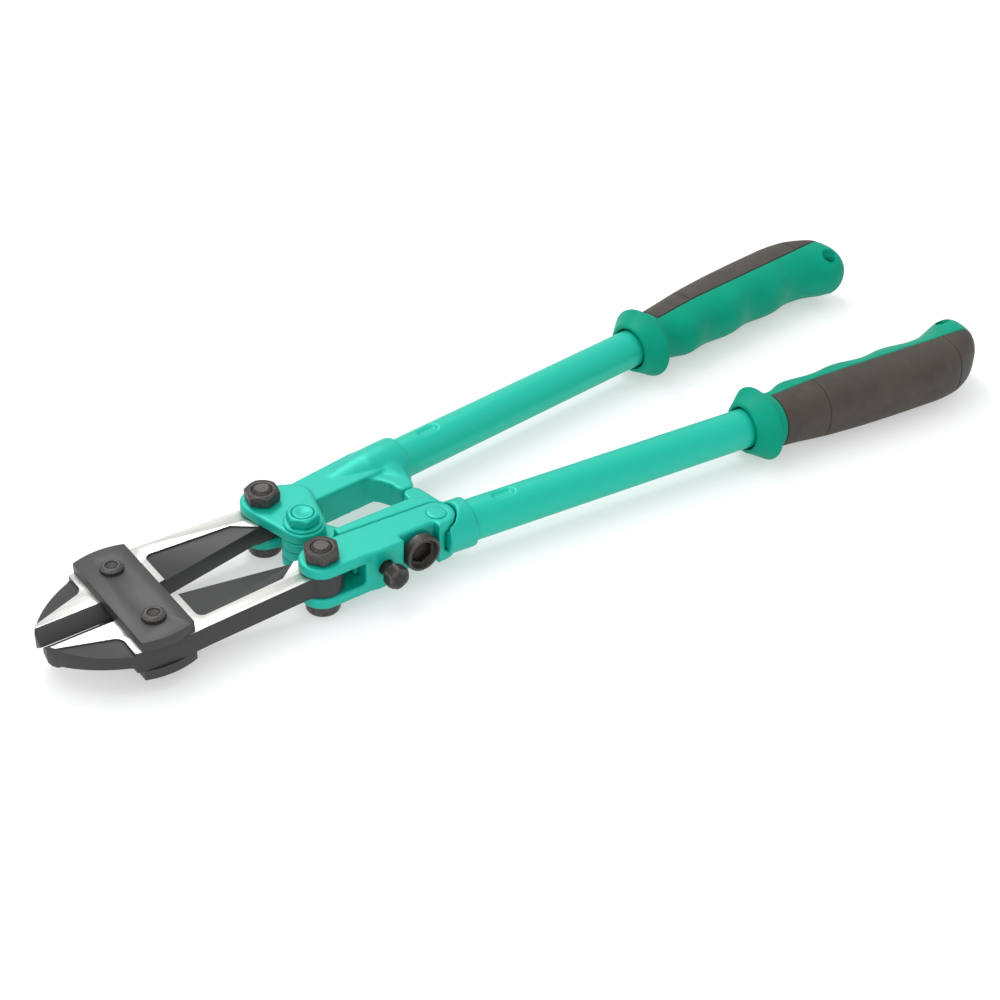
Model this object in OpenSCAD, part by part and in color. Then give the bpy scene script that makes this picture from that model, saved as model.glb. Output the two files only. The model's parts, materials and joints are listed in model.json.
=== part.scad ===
// Bolt cutters with tubular handles: a compound linkage of two handle castings, two forged jaws
// held by a pair of straps, an adjuster link in the right handle, and two-tone grips.
// Everything is drawn about the centre pivot: blades to -X, grips to +X, left handle to +Y,
// and seat() then moves it so that the origin is the middle of the underside.

/* [Linkage] */
// Centre pivot to blade tips
tip_reach = 114; // [111:0.5:118]
// Centre pivot to the strap bolts, along the tool
strap_bolt_x = 75.5; // [74:0.5:77]
// Strap bolts off the centre line
strap_bolt_y = 17; // [16:0.5:18]
// Jaw bolts ahead of the centre pivot
jaw_bolt_x = 5.5; // [4:0.5:7]
// Jaw bolts off the centre line
jaw_bolt_y = 22.5; // [22:0.25:23.5]
// Tube axis off the centre line, level with the pivot
handle_offset = 19.6; // [19:0.2:20.4]
// Angle of each handle to the centre line when shut
handle_angle = 5.6; // [5:0.1:7]
// Travel of each handle from shut to open
handle_swing = 45; // [30:1:45]

/* [Jaws] */
// Thickness of the forged jaws
jaw_t = 9.4; // [8:0.2:11]
// Radius of the eye at the rear of each jaw
jaw_eye_r = 8.4; // [7:0.2:9]
// Width of the ground bevel beside the cutting edge
bevel_w = 6.2; // [4:0.2:8]
// Outer edge of the jaw where it is widest, between the straps
jaw_outer_y = 30.2; // [29:0.1:31]
// Outer edge of the jaw arm just ahead of the eye
arm_outer_y = 27.3; // [26:0.1:28]
// Inner edge of the jaw arm just ahead of the eye
arm_inner_y = 13.4; // [12.5:0.1:15]
// Depth of the forged panels on both faces
panel_depth = 0.8; // [0.4:0.1:1.4]

/* [Straps] */
// Length of a strap plate along the tool
strap_len = 22; // [20:0.5:24]
// Thickness of a strap plate
strap_t = 4.4; // [3:0.2:6]
// Radius that rounds the ends of a strap plate
strap_round_r = 30.3; // [29:0.1:32]
// Radius of a strap bolt's shank
strap_bolt_r = 4; // [3:0.1:4.5]
// Radius of the round button on top of a strap bolt
button_r = 4.7; // [4.6:0.1:6]
// Height of that button
button_h = 2; // [1:0.2:3]

/* [Castings] */
// Height of the pivot stack
stack_h = 19.4; // [18.6:0.2:24]
// Radius of the ears around the jaw bolts
ear_r = 9.2; // [9:0.1:9.6]
// Radius of the ears around the centre pivot
boss_r = 9; // [8:0.1:9.4]
// Half height of the cast arm
arm_h = 7.4; // [6:0.1:8.5]
// Radius of the barrel that carries the tube
barrel_r = 10.6; // [10:0.1:11.5]
// Half height of the closing stops
stop_h = 6; // [4:0.2:7]
// Length of the spigot inside the tube
spigot_len = 26; // [15:1:40]

/* [Adjuster] */
// Rivet of the adjuster link, along the handle axis
rivet_u = 48; // [47:0.2:49]
// Radius of the rivet
rivet_r = 3.4; // [2.5:0.1:3.6]
// Radius of the link's rounded end
link_end_r = 7.5; // [7:0.1:7.8]
// Outer face of the link's side wall
link_outer_y = 32.3; // [32:0.1:33]
// Clamp screw's place along the tool
clamp_x = 35.2; // [35:0.1:35.6]
// Radius of the clamp screw's head
clamp_head_r = 8; // [7:0.1:8.2]
// Radius of the clamp screw's shank
clamp_shank_r = 3.8; // [3:0.1:4.2]
// Adjusting screw's place along the tool
adjust_x = 18.3; // [17:0.1:19]
// Width across the flats of the adjusting screw's head
adjust_flats = 9; // [7:0.2:10]
// Radius of the adjusting screw's shank
adjust_shank_r = 3; // [2:0.1:3.4]

/* [Bolts] */
// Radius of the jaw bolts
jaw_bolt_r = 4; // [3:0.1:4.5]
// Radius of the centre pivot bolt
pivot_bolt_r = 4.5; // [3.5:0.1:5]
// Width across the flats of the jaw nuts and bolt heads
nut_flats = 13; // [12:0.5:14]
// Height of the jaw nuts
nut_h = 5.2; // [4:0.2:5.6]
// Width across the flats of the pivot nut
pivot_flats = 12.2; // [12:0.2:14]
// Thickness of the pivot washer
washer_t = 1.2; // [0.8:0.1:1.6]

/* [Handles] */
// Start of the tube along the handle axis
tube_start = 62.2; // [61:0.2:66]
// Outer radius of the tube
tube_r = 8.8; // [8.4:0.1:9.4]
// Wall of the tube
tube_wall = 1.8; // [1.4:0.1:2.5]
// Length of the dimple pressed into the tube
dimple_len = 12; // [8:0.5:16]

/* [Grips] */
// Mouth of the grip along the handle axis
mouth_u = 202; // [195:1:206]
// End of the grip along the handle axis
grip_end_u = 338; // [334:1:345]
// Half width of the guard flange
flange_a = 17.8; // [17:0.2:20]
// Half height of the guard flange, which the tool rests on
flange_b = 16; // [15.6:0.1:17]
// Half height of the grip
grip_b = 13.6; // [13:0.1:14.5]
// Depth of the finger swells
swell = 1.3; // [0.5:0.1:1.8]
// Thickness of the soft cover
cover_t = 3; // [2:0.2:3.2]
// Radius of the hang hole
hang_r = 2.6; // [2:0.1:3]

/* [Clearances] */
// Between the moving flat faces
run_gap = 0.2; // [0.1:0.05:0.3]
// Around shanks and inside fits, each side
fit_gap = 0.1; // [0.05:0.05:0.2]
// Between the shut blades and between the shut stops, each side
shut_gap = 0.15; // [0.15:0.05:0.3]

/* [Hidden] */
$fn = 64;
eps = 0.01;

// Levels of the four interleaved pivot ears, from the top down
ear_t = (stack_h - 3 * run_gap) / 4;
stack_top = stack_h / 2;
pitch = ear_t + run_gap;
function level_top(i) = stack_top - i * pitch;
function level_bottom(i) = level_top(i) - ear_t;
slot_h = level_bottom(0);

// Strap plates lie on the jaws
strap_z = jaw_t / 2 + run_gap / 2;
strap_x = strap_bolt_x;
strap_front = strap_x + strap_len / 2;
strap_rear = strap_x - strap_len / 2;

// Places of the bolts
strap_bolt = [-strap_bolt_x, strap_bolt_y];
jaw_bolt = [-jaw_bolt_x, jaw_bolt_y];
rivet = [rivet_u * cos(handle_angle), handle_offset + rivet_u * sin(handle_angle)];

// Height of the middle plane over the surface that the tool lies on
rest_h = flange_b;
head_h = rest_h - stack_top;

// Linkage geometry of the open pivot: jaw angle at full swing, and the slot that the
// constant jaw ratio needs in the right jaw at mid swing
jaw_link = norm(jaw_bolt - strap_bolt);
function jaw_bolt_y_at(a) = jaw_bolt_y * cos(a) - jaw_bolt_x * sin(a);
function jaw_angle(a) = asin((jaw_bolt_y - strap_bolt_y) / jaw_link)
    - asin((jaw_bolt_y_at(a) - strap_bolt_y) / jaw_link);
jaw_ratio = jaw_angle(handle_swing) / handle_swing;
adjust_travel = 0.6;
slot_len = 2 * jaw_link * sin(handle_swing / 2 * jaw_ratio - jaw_angle(handle_swing / 2))
    + adjust_travel + 0.4;

// Grip outline along the handle axis (u) and across it (v, outward)
flange_u = mouth_u + 8.5;
neck_u = mouth_u + 14.5;
cover_u = mouth_u + 15.5;
swell_pitch = 29;
first_valley_u = mouth_u + 43;
last_valley_u = first_valley_u + 2 * swell_pitch;
neck_v = 12.6;
back_v = 16.2;
palm_v = 14.6;
lobe_v = 20.5;
lobe_r = 7.5;
lobe_u = grip_end_u - lobe_r;
nose_u = grip_end_u - 36;
nose_v = -8;
split_v = -2;
tube_end_u = grip_end_u - 26;
hang_u = grip_end_u - 11;
hang_v = -14.5;
// The hang hole ends on small spot faces at this height
hang_face_z = grip_b - 2.2;

x_max = lobe_u * cos(handle_angle) + (lobe_v - lobe_r) * sin(handle_angle) + lobe_r;
x_mid = (x_max - tip_reach) / 2;

black_steel = [0.16, 0.16, 0.15];
paint = [0, 0.63, 0.52];
core_green = [0, 0.58, 0.45];
soft_black = [0.27, 0.25, 0.22];

// ---- frames ----

// Pivot frame to the frame of the whole tool
module seat() {
    translate([-x_mid, 0, rest_h]) children();
}

// Left side as drawn, right side mirrored
module side(s) {
    if (s > 0) children();
    else mirror([0, 1, 0]) children();
}

// X runs along the tube axis of the left handle
module on_handle() {
    translate([0, handle_offset, 0]) rotate([0, 0, handle_angle]) children();
}

// ---- shared shapes ----

module plate(z0, z1) {
    translate([0, 0, z0]) linear_extrude(z1 - z0) children();
}

module disc(p, r, z0, z1) {
    translate([p[0], p[1], z0]) cylinder(r = r, h = z1 - z0);
}

// Two discs with straight flanks between them
module bar(a, ra, b, rb, z0, z1) {
    gap = norm(b - a);
    heading = atan2(b[1] - a[1], b[0] - a[0]);
    lean = acos((ra - rb) / gap);
    disc(a, ra, z0, z1);
    disc(b, rb, z0, z1);
    plate(z0, z1) polygon([
        a + ra * [cos(heading + lean), sin(heading + lean)],
        a + ra * [cos(heading - lean), sin(heading - lean)],
        b + rb * [cos(heading - lean), sin(heading - lean)],
        b + rb * [cos(heading + lean), sin(heading + lean)]]);
}

// Rod along the handle axis
module axial(r, u0, u1) {
    translate([u0, 0, 0]) rotate([0, 90, 0]) cylinder(r = r, h = u1 - u0);
}

// Hexagon prism by its width across the flats
module hexagon(flats, z0, z1) {
    translate([0, 0, z0]) cylinder(r = flats / sqrt(3), h = z1 - z0, $fn = 6);
}

// ---- castings ----

arm_root = [14, handle_offset + 1];
arm_root_r = 8;
// Rear end of the ear plates above and below the arm
ear_root = [6.5, handle_offset - 1];
ear_root_r = 7.7;
barrel_u = 46;
// Round arch between the arm and the leg
arch = [35.4, 5.4];
arch_r = 9.9;

module barrel_and_spigot() {
    on_handle() {
        axial(barrel_r, barrel_u, tube_start - fit_gap);
        translate([barrel_u, 0, 0]) sphere(r = barrel_r);
        axial(tube_r - tube_wall - fit_gap, barrel_u, tube_start + spigot_len);
    }
}

// Leg that meets its twin on the centre line when the handles shut
module stop_leg() {
    difference() {
        union() {
            bar([51, handle_offset - 2], 6, [50.5, 4], 4.2, -stop_h, stop_h);
            plate(-stop_h, stop_h) polygon([[37, handle_offset - 3.6], [50, handle_offset - 3.6], [50, 3]]);
        }
        disc(arch, arch_r, -stack_h, stack_h);
        translate([30, -20 + shut_gap, -20]) cube([40, 20, 40]);
    }
}

module casting_l() {
    difference() {
        union() {
            bar(jaw_bolt, ear_r, [0, 0], boss_r, level_bottom(0), level_top(0));
            bar(jaw_bolt, ear_r, ear_root, ear_root_r, level_bottom(0), level_top(0));
            bar([0, 0], boss_r, ear_root, ear_root_r, level_bottom(0), level_top(0));
            bar([0, 0], boss_r, arm_root, 6, level_bottom(2), level_top(2));
            bar(jaw_bolt, ear_r, ear_root, ear_root_r, level_bottom(3), level_top(3));
            bar(arm_root, arm_root_r, [44, handle_offset + 4.3], barrel_r - 1.4, -arm_h, arm_h);
            stop_leg();
            barrel_and_spigot();
        }
        disc(jaw_bolt, jaw_bolt_r + fit_gap, -stack_h, stack_h);
        disc([0, 0], pivot_bolt_r + fit_gap, -stack_h, stack_h);
    }
}

// Right casting, drawn on the left side and mirrored: rail, tongue inside the link, barrel
link_gap = 0.5;
rail_inner_y = 9.2;
rail_h = stack_top - 0.5;
tongue_h = slot_h - 0.3;
tongue_outer_y = 24.6;
web_inner_y = tongue_outer_y + link_gap;
tongue_boss_r = 5.4;

module link_plan(grow, z0, z1) {
    bar(jaw_bolt, ear_r + grow, rivet, link_end_r + grow, z0, z1);
}

module rail_and_tongue() {
    plate(-rail_h, rail_h) polygon([[8, rail_inner_y], [46, rail_inner_y], [52, 13], [56, 22], [56, 26], [8, 26]]);
    plate(-tongue_h, tongue_h) polygon([[9, rail_inner_y], [50, rail_inner_y], [50, tongue_outer_y],
        [9, tongue_outer_y]]);
    disc(rivet, tongue_boss_r, -tongue_h, tongue_h);
}

module casting_r() {
    difference() {
        union() {
            bar([0, 0], boss_r, [13, 14.6], 5.4, level_bottom(1), level_top(1));
            difference() {
                union() {
                    bar([0, 0], boss_r, [14, 14], 5, level_bottom(3), level_top(3));
                    rail_and_tongue();
                    stop_leg();
                    barrel_and_spigot();
                }
                // room for the link's plates above and below the tongue, and outside it
                for (z = [tongue_h, -stack_h]) link_plan(link_gap, z, z + stack_h - tongue_h);
                link_side_room();
            }
        }
        disc([0, 0], pivot_bolt_r + fit_gap, -stack_h, stack_h);
        disc(rivet, rivet_r + fit_gap, -stack_h, stack_h);
        translate([clamp_x, 0, 0]) rotate([-90, 0, 0]) cylinder(r = clamp_shank_r + fit_gap, h = 60);
        translate([adjust_x, tongue_outer_y - 3, 0]) rotate([-90, 0, 0]) cylinder(r = adjust_shank_r + fit_gap, h = 60);
    }
}

// Space beside the tongue that the link's side wall fills
module link_side_room() {
    difference() {
        translate([-20, tongue_outer_y, -stack_h]) cube([48 + 20, 30, 2 * stack_h]);
        disc(rivet, tongue_boss_r + eps, -tongue_h, tongue_h);
    }
}

// ---- adjuster ----

recess_x0 = 26.8;
recess_x1 = 43.6;
recess_y = 28.4;
wall_x0 = 9.4;
wall_x1 = 47.4;
clamp_head_h = 5.6;
// Play under the clamp screw's head, and of the link's clevis when it is adjusted
clamp_gap = 0.3;
socket_r = 4.6;

module link_body() {
    difference() {
        union() {
            link_plan(0, level_bottom(0), level_top(0));
            link_plan(0, level_bottom(3), level_top(3));
            plate(-stack_top, stack_top) polygon([[wall_x0, web_inner_y], [wall_x1, web_inner_y],
                [wall_x1, link_outer_y - 1], [recess_x1, link_outer_y], [wall_x0 + 5, link_outer_y],
                [wall_x0, link_outer_y - 1]]);
        }
        disc(rivet, tongue_boss_r + link_gap, -slot_h, slot_h);
        translate([recess_x0, recess_y, -stack_h]) cube([recess_x1 - recess_x0, 20, 2 * stack_h]);
        disc(jaw_bolt, jaw_bolt_r + fit_gap, -stack_h, stack_h);
        disc(rivet, rivet_r + fit_gap, -stack_h, stack_h);
        translate([clamp_x, 0, 0]) rotate([-90, 0, 0]) cylinder(r = clamp_shank_r + 0.5, h = 60);
        translate([adjust_x, 0, 0]) rotate([-90, 0, 0]) cylinder(r = adjust_shank_r + fit_gap, h = 60);
    }
}

module clamp_body() {
    translate([clamp_x, recess_y + clamp_gap, 0]) rotate([-90, 0, 0]) difference() {
        union() {
            cylinder(r = clamp_head_r, h = clamp_head_h);
            translate([0, 0, -14]) cylinder(r = clamp_shank_r, h = 15);
        }
        translate([0, 0, clamp_head_h - 4]) cylinder(r = socket_r, h = 5, $fn = 6);
        translate([0, 0, clamp_head_h - 1.4]) cylinder(r1 = socket_r, r2 = clamp_head_r - 1.6, h = 1.5);
    }
}

module adjust_body() {
    translate([adjust_x, link_outer_y + 4.4, 0]) rotate([-90, 0, 0]) {
        hexagon(adjust_flats, 0, 5);
        translate([0, 0, -14.4]) cylinder(r = adjust_shank_r, h = 14.7);
    }
}

// ---- jaws ----

knuckle_r = strap_bolt_y - shut_gap;
// The eye fills the fork of the castings
eye_h = slot_h - 0.3;
nose = [-tip_reach, 5];
shoulder_x = -strap_front - 2.2;
// Land between the cutting edge and the forged hollow on the blade
land_tip = [-tip_reach + 3, 8.6];
land_corner = [shoulder_x - 2.8, 15.6];
corner_r = 3;
hollow_slope = 7;
// Panel in the jaw arm
panel_x0 = -strap_rear + 5;
panel_x1 = -22;

function arc(c, r, a0, a1, n) = [for (i = [0 : n]) c + [r[0] * cos(a0 + (a1 - a0) * i / n),
    r[1] * sin(a0 + (a1 - a0) * i / n)]];

// Shallow curve from a to b that stands h proud of the straight line
function bow(a, b, h, n) = let (d = (b - a) / norm(b - a))
    [for (i = [0 : n]) a + (b - a) * i / n + h * 4 * i / n * (1 - i / n) * [d[1], -d[0]]];

function jaw_plan() = concat(
    [[-tip_reach, shut_gap + 1.5], [-tip_reach + 0.8, shut_gap], [-strap_bolt_x, shut_gap]],
    arc(strap_bolt, [knuckle_r, knuckle_r], -84, -52, 6),
    [[-jaw_bolt_x - 9, arm_inner_y], jaw_bolt + [0, -jaw_eye_r], jaw_bolt + [0, jaw_eye_r - 1.5],
        [-jaw_bolt_x - 8, arm_outer_y], [panel_x0, jaw_outer_y - 1.2]],
    bow([-strap_rear - 2, jaw_outer_y - 0.7], [shoulder_x, jaw_outer_y - 2.4], 0.9, 6),
    bow([shoulder_x - 2.2, jaw_outer_y - 4.2], nose, 2.4, 12));

module jaw_body(slot) {
    difference() {
        union() {
            plate(-jaw_t / 2, jaw_t / 2) polygon(jaw_plan());
            disc(jaw_bolt, jaw_eye_r, -eye_h, eye_h);
        }
        disc(jaw_bolt, jaw_bolt_r + run_gap, -stack_h, stack_h);
        bar(strap_bolt, strap_bolt_r + run_gap, strap_bolt - [0, slot], strap_bolt_r + run_gap, -jaw_t, jaw_t);
        if (slot > 0)
            bar(strap_bolt + [adjust_travel, -1.5 * adjust_travel], strap_bolt_r + run_gap,
                strap_bolt + [adjust_travel, -slot], strap_bolt_r + run_gap, -jaw_t, jaw_t);
        for (m = [0, 1]) mirror([0, 0, m]) {
            bevel();
            arm_panel();
            blade_hollow();
        }
    }
}

// Forged panel in the arm, open towards the other jaw
module arm_panel() {
    plate(jaw_t / 2 - panel_depth, jaw_t) polygon(concat(
        [[-jaw_bolt_x - 8, arm_inner_y - 6], [panel_x0, -1]],
        arc([panel_x0 + corner_r, 22.2 - corner_r], [corner_r, corner_r], 180, 90, 5),
        [[panel_x1, 20.2], [-jaw_bolt_x - 8, arm_inner_y + 0.4]]));
}

// Forged hollow behind the blade's land, falling towards the back of the blade
module blade_hollow() {
    heading = atan2(land_corner[1] - land_tip[1], land_corner[0] - land_tip[0]);
    intersection() {
        plate(0, jaw_t) polygon(concat([land_tip], bow(land_corner, land_corner + [2.4, 3.4], 0.5, 4),
            [[shoulder_x - 0.4, 40], [-tip_reach - 10, 40], [-tip_reach - 10, land_tip[1] - 3.6]]));
        translate([land_tip[0], land_tip[1], jaw_t / 2 - panel_depth]) rotate([0, 0, heading])
            rotate([-hollow_slope, 0, 0]) translate([-20, -5, 0]) cube([60, 40, 20]);
    }
}

// Ground bevel: from the cutting edge at mid height up to the face
module bevel() {
    translate([-125, 0, 0]) rotate([90, 0, 90])
        linear_extrude(125 - strap_bolt_x - 4)
            polygon([[shut_gap - 1, -eps], [shut_gap, 0], [shut_gap + bevel_w, jaw_t / 2 + eps],
                [shut_gap - 1, jaw_t / 2 + eps]]);
}

// ---- straps ----

module strap_body(z0) {
    difference() {
        intersection() {
            translate([-strap_front, -strap_round_r, z0]) cube([strap_len, 2 * strap_round_r, strap_t]);
            disc([-strap_x, 0], strap_round_r, z0, z0 + strap_t);
        }
        for (s = [1, -1]) disc([-strap_bolt_x, s * strap_bolt_y], strap_bolt_r + fit_gap, z0 - 1, z0 + strap_t + 1);
    }
}

strap_top_z = strap_z + strap_t;
strap_nut_h = 4.6;

module strap_bolt_body() {
    difference() {
        union() {
            disc(strap_bolt, button_r, strap_top_z, strap_top_z + button_h);
            disc(strap_bolt, strap_bolt_r, -strap_top_z - strap_nut_h - 0.8, strap_top_z + eps);
        }
        disc(strap_bolt, button_r - 2.4, strap_top_z + button_h - 0.8, strap_top_z + button_h + 1);
    }
}

module strap_nut_body() {
    difference() {
        translate([-strap_bolt_x, strap_bolt_y, 0]) hexagon(nut_flats - 1, -strap_top_z - strap_nut_h, -strap_top_z);
        disc(strap_bolt, strap_bolt_r + fit_gap, -strap_top_z - strap_nut_h - 1, 0);
    }
}

// ---- bolts ----

thread_end = 0.8;

module jaw_bolt_body() {
    disc(jaw_bolt, jaw_bolt_r, -stack_top - eps, stack_top + nut_h + thread_end);
    translate([jaw_bolt[0], jaw_bolt[1], 0]) hexagon(nut_flats, -rest_h, -stack_top);
}

module jaw_nut_body() {
    difference() {
        translate([jaw_bolt[0], jaw_bolt[1], 0]) hexagon(nut_flats, stack_top, stack_top + nut_h);
        disc(jaw_bolt, jaw_bolt_r + fit_gap, stack_top - 1, stack_top + nut_h + 1);
    }
}

module pivot_bolt_body() {
    disc([0, 0], pivot_bolt_r, -stack_top - eps, rest_h);
    hexagon(pivot_flats, -rest_h, -stack_top);
}

module pivot_washer_body() {
    difference() {
        disc([0, 0], boss_r - 1, stack_top, stack_top + washer_t);
        disc([0, 0], pivot_bolt_r + fit_gap, stack_top - 1, stack_top + washer_t + 1);
    }
}

module pivot_nut_body() {
    difference() {
        hexagon(pivot_flats, stack_top + washer_t, rest_h - thread_end);
        disc([0, 0], pivot_bolt_r + fit_gap, stack_top, rest_h + 1);
    }
}

module rivet_body() {
    disc(rivet, rivet_r, -stack_top, stack_top);
    for (z = [-stack_top - 0.5, stack_top]) disc(rivet, rivet_r + 0.8, z, z + 0.5);
}

// ---- tubes ----

module tube_body() {
    dimple_u = 79;
    dimple_r = 3;
    on_handle() difference() {
        axial(tube_r, tube_start, tube_end_u);
        axial(tube_r - tube_wall, tube_start - 1, tube_end_u + 1);
        for (m = [0, 1]) mirror([0, 0, m])
            bar([dimple_u - dimple_len / 2 + dimple_r, 0], dimple_r, [dimple_u + dimple_len / 2 - dimple_r, 0],
                dimple_r, tube_r - tube_wall / 2, tube_r + 1);
    }
}

// ---- grips ----

function ellipse(a, b, n) = [for (i = [0 : n - 1]) [a * cos(360 * i / n), b * sin(360 * i / n)]];

// Softly squared section of the grip: v to the right, z up
function section(a_out, a_in, b, n) = [for (i = [0 : n - 1])
    let (c = cos(360 * i / n), s = sin(360 * i / n))
    [(c > 0 ? a_out : a_in) * sign(c) * pow(abs(c), 0.55), b * sign(s) * pow(abs(s), 0.55)]];

// Inner edge with its finger swells
function palm(u) = -(palm_v + swell * (1 - cos(360 * (u - first_valley_u) / swell_pitch)) / 2);

function grip_plan() = concat(
    [[flange_u, -neck_v], [flange_u, neck_v], [neck_u, neck_v]],
    [for (i = [1 : 4]) [neck_u + (nose_u - neck_u) * i / 5, neck_v + (back_v - neck_v) * sin(90 * i / 4.4)]],
    arc([nose_u, nose_v], [grip_end_u - nose_u, back_v - nose_v], 90, 0, 8),
    arc([lobe_u, lobe_r - lobe_v], [lobe_r, lobe_r], 0, -90, 6),
    [[hang_u - 2, -lobe_v]],
    [for (i = [0 : 20]) let (u = last_valley_u + 4 - (last_valley_u + 4 - neck_u) * i / 20) [u, palm(u)]]);

function grip_side() = concat(
    [[flange_u, -neck_v + 1], [neck_u, -neck_v + 1], [first_valley_u - 6, -grip_b], [lobe_u - 2, -grip_b]],
    arc([lobe_u - 2, 0], [lobe_r + 3, grip_b], -75, 75, 8),
    [[lobe_u - 2, grip_b], [first_valley_u - 6, grip_b], [neck_u, neck_v - 1], [flange_u, neck_v - 1]]);

// Prism along the handle axis over a (v, z) outline
module along(u0, u1) {
    translate([u0, 0, 0]) rotate([90, 0, 90]) linear_extrude(u1 - u0) children();
}

module grip_body() {
    intersection() {
        plate(-20, 20) polygon(grip_plan());
        along(flange_u - 1, grip_end_u + 1) polygon(section(back_v + 1.2, lobe_v + 1.2, grip_b, 40));
        rotate([90, 0, 0]) translate([0, 0, -30]) linear_extrude(60) polygon(grip_side());
    }
}

// Zone that the soft cover takes out of the grip: outer half, outside the hard core
module cover_zone() {
    difference() {
        translate([cover_u, split_v, -30]) cube([200, 40, 60]);
        intersection() {
            along(cover_u - 1, grip_end_u) polygon(section(back_v - cover_t - 0.6, lobe_v - cover_t,
                grip_b - cover_t, 40));
            plate(-30, 30) polygon(concat([[cover_u - 2, -40], [cover_u - 2, back_v]],
                arc([nose_u, nose_v], [grip_end_u - nose_u - cover_t, back_v - nose_v - cover_t], 90, 0, 8),
                [[grip_end_u - cover_t, -40]]));
        }
    }
}

module flange() {
    hull() {
        along(mouth_u, mouth_u + 1) polygon(ellipse(tube_r + 2.8, tube_r + 2.4, 48));
        along(flange_u - 0.8, flange_u + 0.8) polygon(ellipse(flange_a, flange_b, 48));
    }
    hull() {
        along(flange_u - 0.8, flange_u + 0.8) polygon(ellipse(flange_a, flange_b, 48));
        along(neck_u - 1, neck_u) polygon(ellipse(neck_v, neck_v - 1.2, 48));
    }
}

module grip_core_body() {
    on_handle() difference() {
        union() {
            flange();
            difference() {
                grip_body();
                cover_zone();
            }
        }
        axial(tube_r + fit_gap, mouth_u - 1, tube_end_u + fit_gap);
        axial(tube_r + 0.9, mouth_u - 1, mouth_u + 5);
        disc([hang_u, hang_v], hang_r, -30, 30);
        for (z = [hang_face_z, -hang_face_z - 20]) disc([hang_u, hang_v], hang_r + 0.8, z, z + 20);
    }
}

module grip_cover_body() {
    on_handle() intersection() {
        grip_body();
        cover_zone();
    }
}

// ---- nodes ----

module casting_left() { color(paint) seat() casting_l(); }
module casting_right() { color(paint) seat() side(-1) casting_r(); }
module tube_left() { color(paint) seat() tube_body(); }
module tube_right() { color(paint) seat() side(-1) tube_body(); }
module grip_core_left() { color(core_green) seat() grip_core_body(); }
module grip_core_right() { color(core_green) seat() side(-1) grip_core_body(); }
module grip_cover_left() { color(soft_black) seat() grip_cover_body(); }
module grip_cover_right() { color(soft_black) seat() side(-1) grip_cover_body(); }
module jaw_left() { color(black_steel) seat() jaw_body(0.01); }
module jaw_right() { color(black_steel) seat() side(-1) jaw_body(slot_len); }
module strap_top() { color(black_steel) seat() strap_body(strap_z); }
module strap_bottom() { color(black_steel) seat() strap_body(-strap_z - strap_t); }
module strap_bolt_left() { color(black_steel) seat() strap_bolt_body(); }
module strap_bolt_right() { color(black_steel) seat() side(-1) strap_bolt_body(); }
module strap_nut_left() { color(black_steel) seat() strap_nut_body(); }
module strap_nut_right() { color(black_steel) seat() side(-1) strap_nut_body(); }
module jaw_bolt_left() { color(black_steel) seat() jaw_bolt_body(); }
module jaw_bolt_right() { color(black_steel) seat() side(-1) jaw_bolt_body(); }
module jaw_nut_left() { color(black_steel) seat() jaw_nut_body(); }
module jaw_nut_right() { color(black_steel) seat() side(-1) jaw_nut_body(); }
module pivot_bolt() { color(paint) seat() pivot_bolt_body(); }
module pivot_washer() { color(paint) seat() pivot_washer_body(); }
module pivot_nut() { color(paint) seat() pivot_nut_body(); }
module adjuster_link() { color(paint) seat() side(-1) link_body(); }
module link_rivet() { color(paint) seat() side(-1) rivet_body(); }
module clamp_screw() { color(black_steel) seat() side(-1) clamp_body(); }
module adjusting_screw() { color(black_steel) seat() side(-1) adjust_body(); }

casting_left();
casting_right();
tube_left();
tube_right();
grip_core_left();
grip_core_right();
grip_cover_left();
grip_cover_right();
jaw_left();
jaw_right();
strap_top();
strap_bottom();
strap_bolt_left();
strap_bolt_right();
strap_nut_left();
strap_nut_right();
jaw_bolt_left();
jaw_bolt_right();
jaw_nut_left();
jaw_nut_right();
pivot_bolt();
pivot_washer();
pivot_nut();
adjuster_link();
link_rivet();
clamp_screw();
adjusting_screw();
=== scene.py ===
import json
import math

import bmesh
import bpy
import numpy as np
from bpy.props import FloatProperty, FloatVectorProperty, IntProperty, PointerProperty
from mathutils import Matrix, Vector


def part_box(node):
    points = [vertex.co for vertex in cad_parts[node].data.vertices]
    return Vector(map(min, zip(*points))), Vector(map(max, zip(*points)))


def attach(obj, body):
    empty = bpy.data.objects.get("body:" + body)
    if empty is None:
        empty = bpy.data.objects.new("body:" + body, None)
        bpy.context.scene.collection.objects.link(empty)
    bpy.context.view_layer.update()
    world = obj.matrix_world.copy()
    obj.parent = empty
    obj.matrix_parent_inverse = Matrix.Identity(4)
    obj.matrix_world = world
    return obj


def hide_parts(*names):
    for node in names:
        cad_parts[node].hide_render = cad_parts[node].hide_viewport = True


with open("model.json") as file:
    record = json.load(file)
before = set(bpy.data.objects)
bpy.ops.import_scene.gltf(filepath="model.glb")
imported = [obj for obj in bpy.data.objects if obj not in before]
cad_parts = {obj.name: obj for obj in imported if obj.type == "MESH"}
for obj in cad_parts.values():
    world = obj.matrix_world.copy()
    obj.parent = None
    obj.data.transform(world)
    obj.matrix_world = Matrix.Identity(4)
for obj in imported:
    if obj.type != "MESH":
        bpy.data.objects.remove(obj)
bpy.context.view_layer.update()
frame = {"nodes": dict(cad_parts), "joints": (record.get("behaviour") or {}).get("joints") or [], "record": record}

bl_info = {
    "name": "Bolt Cutters",
    "version": (1, 0, 0),
    "blender": (4, 5, 0),
    "location": "View3D > Sidebar > Cutters",
    "description": "Builds the finished surfaces of a pair of bolt cutters around its packed parts",
    "category": "Object",
}

# Everything is built in millimetres and brought to metres when a piece is finished.
MM = 1000.0
LEFT, RIGHT = 1, -1
SIDES = {"left": LEFT, "right": RIGHT}

# ---- where things are ----

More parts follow.
